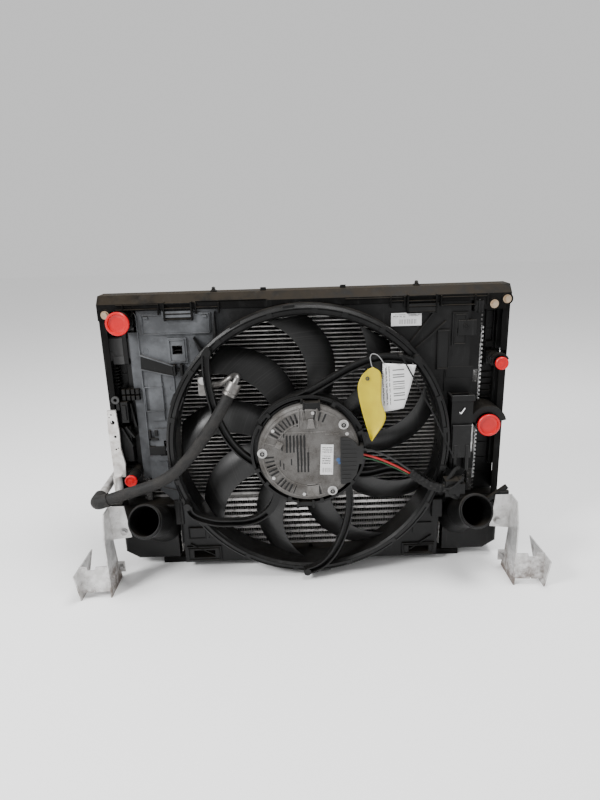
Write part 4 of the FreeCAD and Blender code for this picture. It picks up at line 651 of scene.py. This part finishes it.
# ------------------------------------------------------------------ carrier
# The frame that holds the pack: top rail with latches and slots, side members and lower rail.
carrier_plastic = moulded("carrier_plastic", 0.0035, dust=0.7, gloss=0.4, warmth=0.03,
                          specular=0.06)
dress(carrier_plastic, "top_rail", "bottom_rail", "side_frame_left", "side_frame_right")
dress(dark_plastic, "rail_clips")
latches = []
for x_low, x_high in ((-247, -196), (180, 233)):
    for z in (502, 511.5, 521, 530):
        latches.append(slab((x_low, x_high), (-70.5, -64), (z, z + 2.6)))
    for x in (x_low, x_high - 3):
        latches.append(slab((x, x + 3), (-71.5, -64), (501, 534)))
for x_low, x_high, z, lift in ((-330, -256, 529, 2.5), (-190, -66, 533, 2.5), (72, 172, 528, 2.5),
                               (240, 322, 526, 2.5),
                               (-330, -256, 521, 3.5), (-190, -150, 522, 3.5), (240, 300, 512, 4),
                               (150, 176, 522, 3)):
    latches.append(slab((x_low, x_high), (-65 - lift, -63), (z, z + 2)))
for x in (-318, -256, -190, -150, 152, 176, 240, 300, 322):
    latches.append(slab((x - 1.4, x + 1.4), (-68.5, -63), (512, 531)))
for x, z in ((-350, 514), (334, 513), (356, 521), (-311, 518)):
    latches.append(hoop((x, z), 8.4, 10.4, (-66.6, -64)))
piece("rail_latches", latches, carrier_plastic)
fir = []
for x in (-161, 202):
    fir += [slab((x - 5, x + 5), (-39, -29), (546.3, 548.5)),
            slab((x - 2.2, x + 2.2), (-36.2, -31.8), (548, 554))]
fir += [slab((-77, -67), (-41, -37.2), (545, 551.5)), slab((66, 75), (-41, -37.2), (545, 551.5))]
piece("rail_pins", fir, dark_plastic)

# ------------------------------------------------------------------ charge-air tanks
# Black glass-filled moulding; the pipe ends are smooth and dark inside.
dress(tank_plastic, "charge_air_tank_left", "charge_air_tank_right")
PIPE_WAY = np.array([8.5, -111, 60]) / math.sqrt(8.5 ** 2 + 111 ** 2 + 60 ** 2)
lips = []
for sign in (-1, 1):
    way = PIPE_WAY * (sign, 1, 1)
    mouth = np.array([sign * 300.5, -145, 152])
    side = np.cross(way, (0, 0, 1.0))
    side /= np.linalg.norm(side)
    over = np.cross(side, way)
    turn = np.linspace(0, 2 * math.pi, 48, endpoint=False)
    circle = side[None] * np.cos(turn)[:, None] + over[None] * np.sin(turn)[:, None]
    profile = np.array([(27.4, -1), (27.4, 0.9), (28.6, 1.5), (29.6, 1.0), (30.2, -1)])
    grid = (mouth + way * profile[:, 1][None, :, None]
            + circle[:, None, :] * profile[:, 0][None, :, None])
    lips.append(skin(grid * MM, True))
piece("pipe_lips", lips, ring_plastic, smooth=True)
blocks = [slab((246, 262), (-70, -60), (150, 186), 0.001),
          slab((236, 256), (-74, -60), (104, 142), 0.001),
          slab((-262, -246), (-66, -60), (100, 152), 0.001),
          rib((-252, 60), (-252, 146), 2, (-67, -60)),
          rib((-238, 56), (-190, 30), 1.8, (-66, -61)), rib((238, 60), (196, 30), 1.8, (-66, -61)),
          slab((353, 371), (-106, -98), (130, 170), 0.001),
          rib((334, 152), (368, 178), 7, (-104, -96)),
          rib((322, 120), (345, 150), 5, (-103, -96))]
piece("lower_corner_fittings", blocks, dark_plastic)

# ------------------------------------------------------------------ motor
# Die-cast cover over the electronics, greyed and grimy, with slots milled into it, a paper label
# and a dab of blue ink; the outer-rotor motor lies behind it.


def cast_metal(name="motor_casting", level=0.07):
    """Grey-brown die-cast aluminium with grime in the hollows and fine pitting."""
    finish = Finish(name)
    grime = finish.ramp(finish.noise(30, 6, 0.65), 0.35, 0.72)
    pit = finish.ramp(finish.noise(520, 3), 0.35, 0.65)
    colour = finish.mix(grime, shade(level * 1.15, 0.05), shade(level * 0.42, 0.16))
    colour = finish.mix(pit * 0.25, colour, shade(level * 1.6, 0.05))
    return finish.done(Base_Color=colour, Metallic=0.25, Roughness=0.5 + grime * 0.2,
                       Normal=finish.bump(pit, 0.00025))


def plain_metal(name, level, warmth, rough, metallic=0.95):
    """Worn metal with soft clouding."""
    finish = Finish(name)
    cloud = finish.ramp(finish.noise(80, 4), 0.3, 0.75)
    colour = finish.mix(cloud, shade(level, warmth), shade(level * 0.6, warmth + 0.05))
    return finish.done(Base_Color=colour, Metallic=metallic, Roughness=rough + cloud * 0.15,
                       Normal=finish.bump(finish.noise(900, 2), 0.00005))


casting = cast_metal()
steel = plain_metal("steel", 0.5, 0.0, 0.3)
zinc = plain_metal("zinc", 0.42, 0.0, 0.3, 0.5)
yellow_zinc = plain_metal("yellow_zinc", 0.42, 0.28, 0.3, 0.85)
bright = plain_metal("bright_aluminium", 0.68, 0.02, 0.36, 0.6)
dress(casting, "motor_cover", "motor_base")
dress(steel, "rotor_bell", "rotor_magnets", "motor_shaft", "motor_bearings", "stator_core",
      "port_spring_clips")
dress(zinc, "motor_screws", "bracket_bolts", "fitting_bolt")
dress(yellow_zinc, "corner_bolts")
dress(plain_metal("copper", 0.4, 0.4, 0.35), "motor_windings")
dress(plain_metal("circuit_board", 0.05, -0.3, 0.4, 0.0), "circuit_board")
dress(bright, "ac_port_block", "ac_line_pipe", "receiver_drier")
dress(plain_metal("fitting_metal", 0.17, 0.03, 0.36, 0.85), "hose_fitting")
COVER = -135.0
RAISED = (COVER - 0.9, COVER + 1)
MILLED = (COVER - 0.15, COVER + 0.4)
BOLT_CIRCLE = 82


def round_fan(radius, degrees):
    """The X,Z place at a radius and an angle round the fan's axis, in millimetres."""
    turn = math.radians(degrees)
    return radius * math.cos(turn), FAN_Z + radius * math.sin(turn)


cast_parts = [hoop((0, FAN_Z), 80.6, 82, (COVER - 0.7, COVER + 1), 104, 168),
              hoop((0, FAN_Z), 80.6, 82, (COVER - 0.7, COVER + 1), 186, 290),
              hoop((0, FAN_Z), 59, 60.4, RAISED, 106, 150),
              hoop((0, FAN_Z), 59, 60.4, RAISED, 198, 292)]
for x_low, x_high, z_low, z_high in ((-17, -15, 318, 352), (15, 17, 318, 352), (-5, 17, 187, 211),
                                     (-50, 30, 308.5, 310), (30, 54, 304, 305.5)):
    cast_parts.append(slab((x_low, x_high), RAISED, (z_low, z_high)))
for degrees in (98, 152, 163, 199, 226, 247, 266, 288):
    cast_parts.append(rib(round_fan(61, degrees), round_fan(80, degrees), 1.6, RAISED))
cast_parts.append(prism(np.array([(-2, 317), (12, 317), (9, 334), (1, 334)]) * MM, -0.1385,
                        -0.1345))
cast_parts.append(prism(np.array([(-60, 284), (-50, 279), (-44, 290), (-54, 295)]) * MM, -0.1375,
                        -0.1345))
piece("cover_relief", cast_parts, cast_metal("relief_casting", 0.10))
# The milled slots are drawn as thin near-black sheets just proud of the cover: painted shade of the
# slots' hollows.
slots = []
for k in range(6):
    slots.append(slab((-40 + 6.2 * k, -36.9 + 6.2 * k), MILLED, (272, 304)))
for k in range(4):
    slots.append(slab((-21 + 6 * k, -17.9 + 6 * k), MILLED, (234, 272)))
for x, z in ((-44, 300), (-48, 276), (-52, 246), (-46, 240), (-32, 248), (-26, 320), (-20, 320)):
    slots.append(slab((x, x + 2.2), MILLED, (z, z + 12)))
for angle, radius, count, step in ((128, 71, 8, 6.0), (74, 73, 3, 7), (190, 71, 3, 6.6),
                                   (204, 71, 3, 6), (236, 73, 5, 6.0),
                                   (278, 73, 3, 6.6)):
    for k in range(count):
        degrees = angle + (k - (count - 1) / 2) * step
        slots.append(rib(round_fan(radius - 9, degrees), round_fan(radius + 7.5, degrees), 3.2,
                         MILLED))
# Dark rings on the three screw heads: painted shade of their drive recesses.
for angle in (177, 41, -60):
    slots.append(hoop(round_fan(BOLT_CIRCLE, angle), 2.2, 4.3, (-140.2, -139.6)))
piece("cover_slot_shade", slots, Finish("slot_shadow").done(Base_Color=shade(0.004), Roughness=0.9))
sticker = printed("motor_label_paper", (0.019, 0.229), -0.04,
                  [(0.003, 0.021, 0.041, 0.053, 0.004, False, False),
                   (0.003, 0.018, 0.020, 0.036, 0.0046, False, False),
                   (0.003, 0.021, 0.004, 0.013, 0.0014, True, True)])
piece("motor_label", [prism(np.array([(19, 229), (42, 228), (44, 285), (22, 286)]) * MM, -0.1358,
                            -0.1352, 0.0001)],
      sticker)
piece("ink_dab", [disc(52, 256, 3.6, (-135.5, -134.9), 14, 0.0001),
                  disc(54, 250, 2.6, (-135.45, -134.9), 12, 0.0001)],
      Finish("blue_ink").done(Base_Color=(0.03, 0.08, 0.2, 1), Roughness=0.6))

# ------------------------------------------------------------------ motor leads and their plug
# Three insulated leads leave the cap on the motor and enter a taped sleeve that ends in the plug.
ROUTES = {
    "power_lead": (2.0, (0.30, 0.006, 0.006, 1),
                   [(96.6, -126, 261), (112, -126, 257), (130, -126, 250),
                   (148, -125.6, 241), (166, -125, 231), (183.2, -124, 219.8)]),
    "ground_lead": (2.0, (0.006, 0.006, 0.006, 1),
                    [(96.6, -126, 271), (114, -126.4, 268), (134, -126.4, 260),
                    (153, -126, 249), (170, -125.4, 236), (185.7, -124.5, 223.5)]),
    "signal_lead": (1.1, (0.004, 0.07, 0.02, 1),
                    [(96.6, -122.6, 254), (112, -122.4, 250), (130, -122.2, 243.5),
                    (148, -122.4, 235), (165, -122.8, 226), (181.6, -123.4, 216.6)]),
}
for name, (radius, colour, route) in ROUTES.items():
    lead = spline_curve(name, (np.array(route) * MM).tolist(), radius * MM)
    lead.data.materials.append(Finish(name).done(Base_Color=colour, Roughness=0.35))
    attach(lead, "pack")
    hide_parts("motor_leads")
dress(dark_plastic, "fan_connector", "lead_conduit")
dress(moulded("cap_plastic", 0.010, dust=0.2), "terminal_cover")


def tape():
    """Cloth tape: black with a fine weave and frayed grey spots."""
    finish = Finish("cloth_tape")
    fray = finish.ramp(finish.noise(240, 4), 0.55, 0.75)
    return finish.done(Base_Color=finish.mix(fray * 0.5, shade(0.006), shade(0.05, 0.05)),
                       Roughness=0.8,
                       Specular_IOR_Level=0.25, Normal=finish.bump(finish.noise(1300, 2), 0.0004))


taped = [tube([(182, -124, 222), (192, -125, 214), (205, -127, 205), (220, -128, 196),
               (238, -127, 191)],
              7.4 + 0.7 * np.sin(np.arange(25) * 1.9), 14),
         tube([(236, -127, 192), (250, -130, 186), (262, -129, 176), (270, -122, 170)], 5.5, 10),
         tube([(244, -124, 196), (256, -120, 210), (268, -108, 218), (277, -97, 216)], 3.6, 10),
         tube([(248, -126, 184), (262, -118, 168), (276, -106, 164), (284, -92, 172),
               (281, -84, 190)], 2.4, 8),
         tube([(240, -130, 190), (256, -138, 196), (270, -134, 206), (280, -120, 208)], 2.0, 8)]
piece("harness_tape", taped, tape(), smooth=True)
socket_parts = [slab((258.5, 262.5), (-96.5, -66), (344, 353.5)),
                slab((297, 301), (-96.5, -66), (344, 353.5)),
                slab((259, 300), (-97, -94), (344, 356), 0.001),
                slab((262, 297), (-98, -94.5), (236, 300), 0.001),
                slab((266, 272), (-99.5, -95), (212, 262)),
                slab((287, 293), (-99.5, -95), (212, 262))]
piece("holder_rim", socket_parts, ring_plastic)
tick = [rib((274, 324), (277, 321), 1.4, (-96.6, -95.3)),
        rib((276.6, 321), (283.5, 332), 1.6, (-96.6, -95.3))]
piece("paint_tick", tick, Finish("white_paint").done(Base_Color=shade(0.8), Roughness=0.6))

# ------------------------------------------------------------------ transport plugs
# Push-in caps in glossy red polyethylene, slightly clouded.


def red_cap():
    """Saturated red plastic with faint paler clouds."""
    finish = Finish("plug_red")
    cloud = finish.noise(50, 3)
    colour = finish.mix(cloud, (0.42, 0.0, 0.003, 1), (0.56, 0.002, 0.006, 1))
    return finish.done(Base_Color=colour, Roughness=0.3 + cloud * 0.12, Specular_IOR_Level=0.4)


dress(red_cap(), "plug_upper_left", "plug_upper_right", "plug_lower_left", "plug_lower_right")

# ------------------------------------------------------------------ brackets
# Folded galvanised sheet; the lower part of each arm is stained brown.


def bracket_metal(name, rust):
    """Bright spangled zinc that browns towards the floor."""
    finish = Finish(name)
    x, y, height = finish.axes()
    stain = finish.ramp(finish.noise(30, 6, 0.7) + (0.055 - height) * rust, 0.5, 0.8)
    spangle = finish.ramp(finish.noise(80, 3), 0.3, 0.7)
    dirt = finish.ramp(finish.noise(300, 3), 0.6, 0.75)
    colour = finish.mix(spangle, shade(0.44, 0.02), shade(0.62, 0.01))
    colour = finish.mix(dirt * 0.5, colour, shade(0.07, 0.1))
    colour = finish.mix(stain * 0.85, colour, (0.06, 0.032, 0.017, 1))
    return finish.done(Base_Color=colour, Metallic=0.5 - stain * 0.4, Roughness=0.42 + stain * 0.3,
                       Normal=finish.bump(finish.noise(300, 3), 0.0002))


dress(bracket_metal("bracket_arm_sheet", 5.0), "bracket_arm_left", "bracket_arm_right")
dress(bracket_metal("bracket_foot_sheet", 3.0), "bracket_foot_left", "bracket_foot_right")

# ------------------------------------------------------------------ paper tags
# Two card tags on a thin tie over a peg on the spider: a curled yellow one with a dark ring at
# its eyelet and a white one with generic grey marks. Card 0.3 mm thick.


def card(left, right, front, curl, lean, thick=0.3):
    """A curled tag: the two long edges are cubic lines, each row runs straight between them, and
    the sheet bows towards the fan side as curl times the square of the distance from mid-row."""
    across = np.linspace(0, 1, 13)
    a, b = smooth_line(left, 8), smooth_line(right, 8)
    flat = a[:, None, :] * (1 - across)[None, :, None] + b[:, None, :] * across[None, :, None]
    along = np.linspace(0, 1, len(a))[:, None]
    depth = front + curl * (2 * across[None, :] - 1) ** 2 * (0.25 + along) + lean * along ** 2
    face = np.stack([flat[..., 0], np.broadcast_to(depth, flat.shape[:2]), flat[..., 1]], axis=-1)
    back = face[:, ::-1] + (0, thick, 0)
    return skin(np.concatenate([face, back], axis=1) * MM)


yellow = Finish("yellow_card")
fade = yellow.ramp(yellow.noise(40, 4), 0.3, 0.7)
yellow_card = yellow.done(Base_Color=yellow.mix(fade, (0.50, 0.40, 0.0, 1), (0.43, 0.33, 0.0, 1)),
                          Roughness=0.5)
white_card = printed("white_card", (0.125, 0.337), 0.06,
                     [(0.005, 0.022, 0.012, 0.082, 0.0058, True, False),
                      (0.027, 0.047, 0.018, 0.076, 0.0042, False, True)], 0.66)
tag = piece("yellow_tag", [card([(104, 417), (93, 405), (87, 384), (94, 344), (109, 291)],
                             [(114, 421), (127, 408), (128, 361), (135, 328), (111, 289)], -127.2,
                             -5, -3)],
            yellow_card, "tags", True)
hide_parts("tag_yellow")
piece("tag_eyelet", [hoop((104, 401), 1.8, 3.4, (-129.6, -127.4))],
      Finish("eyelet_dark_ring").done(Base_Color=shade(0.03), Roughness=0.6), "tags")
tag = piece("white_tag", [card([(131, 426), (128, 380), (125, 337)],
                               [(188, 421), (179, 380), (169, 343)],
                            -123.4, 2.5, 1.5)], white_card, "tags", True)
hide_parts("tag_white")
dress(Finish("tie_nylon").done(Base_Color=shade(0.2), Roughness=0.4), "tag_tie")
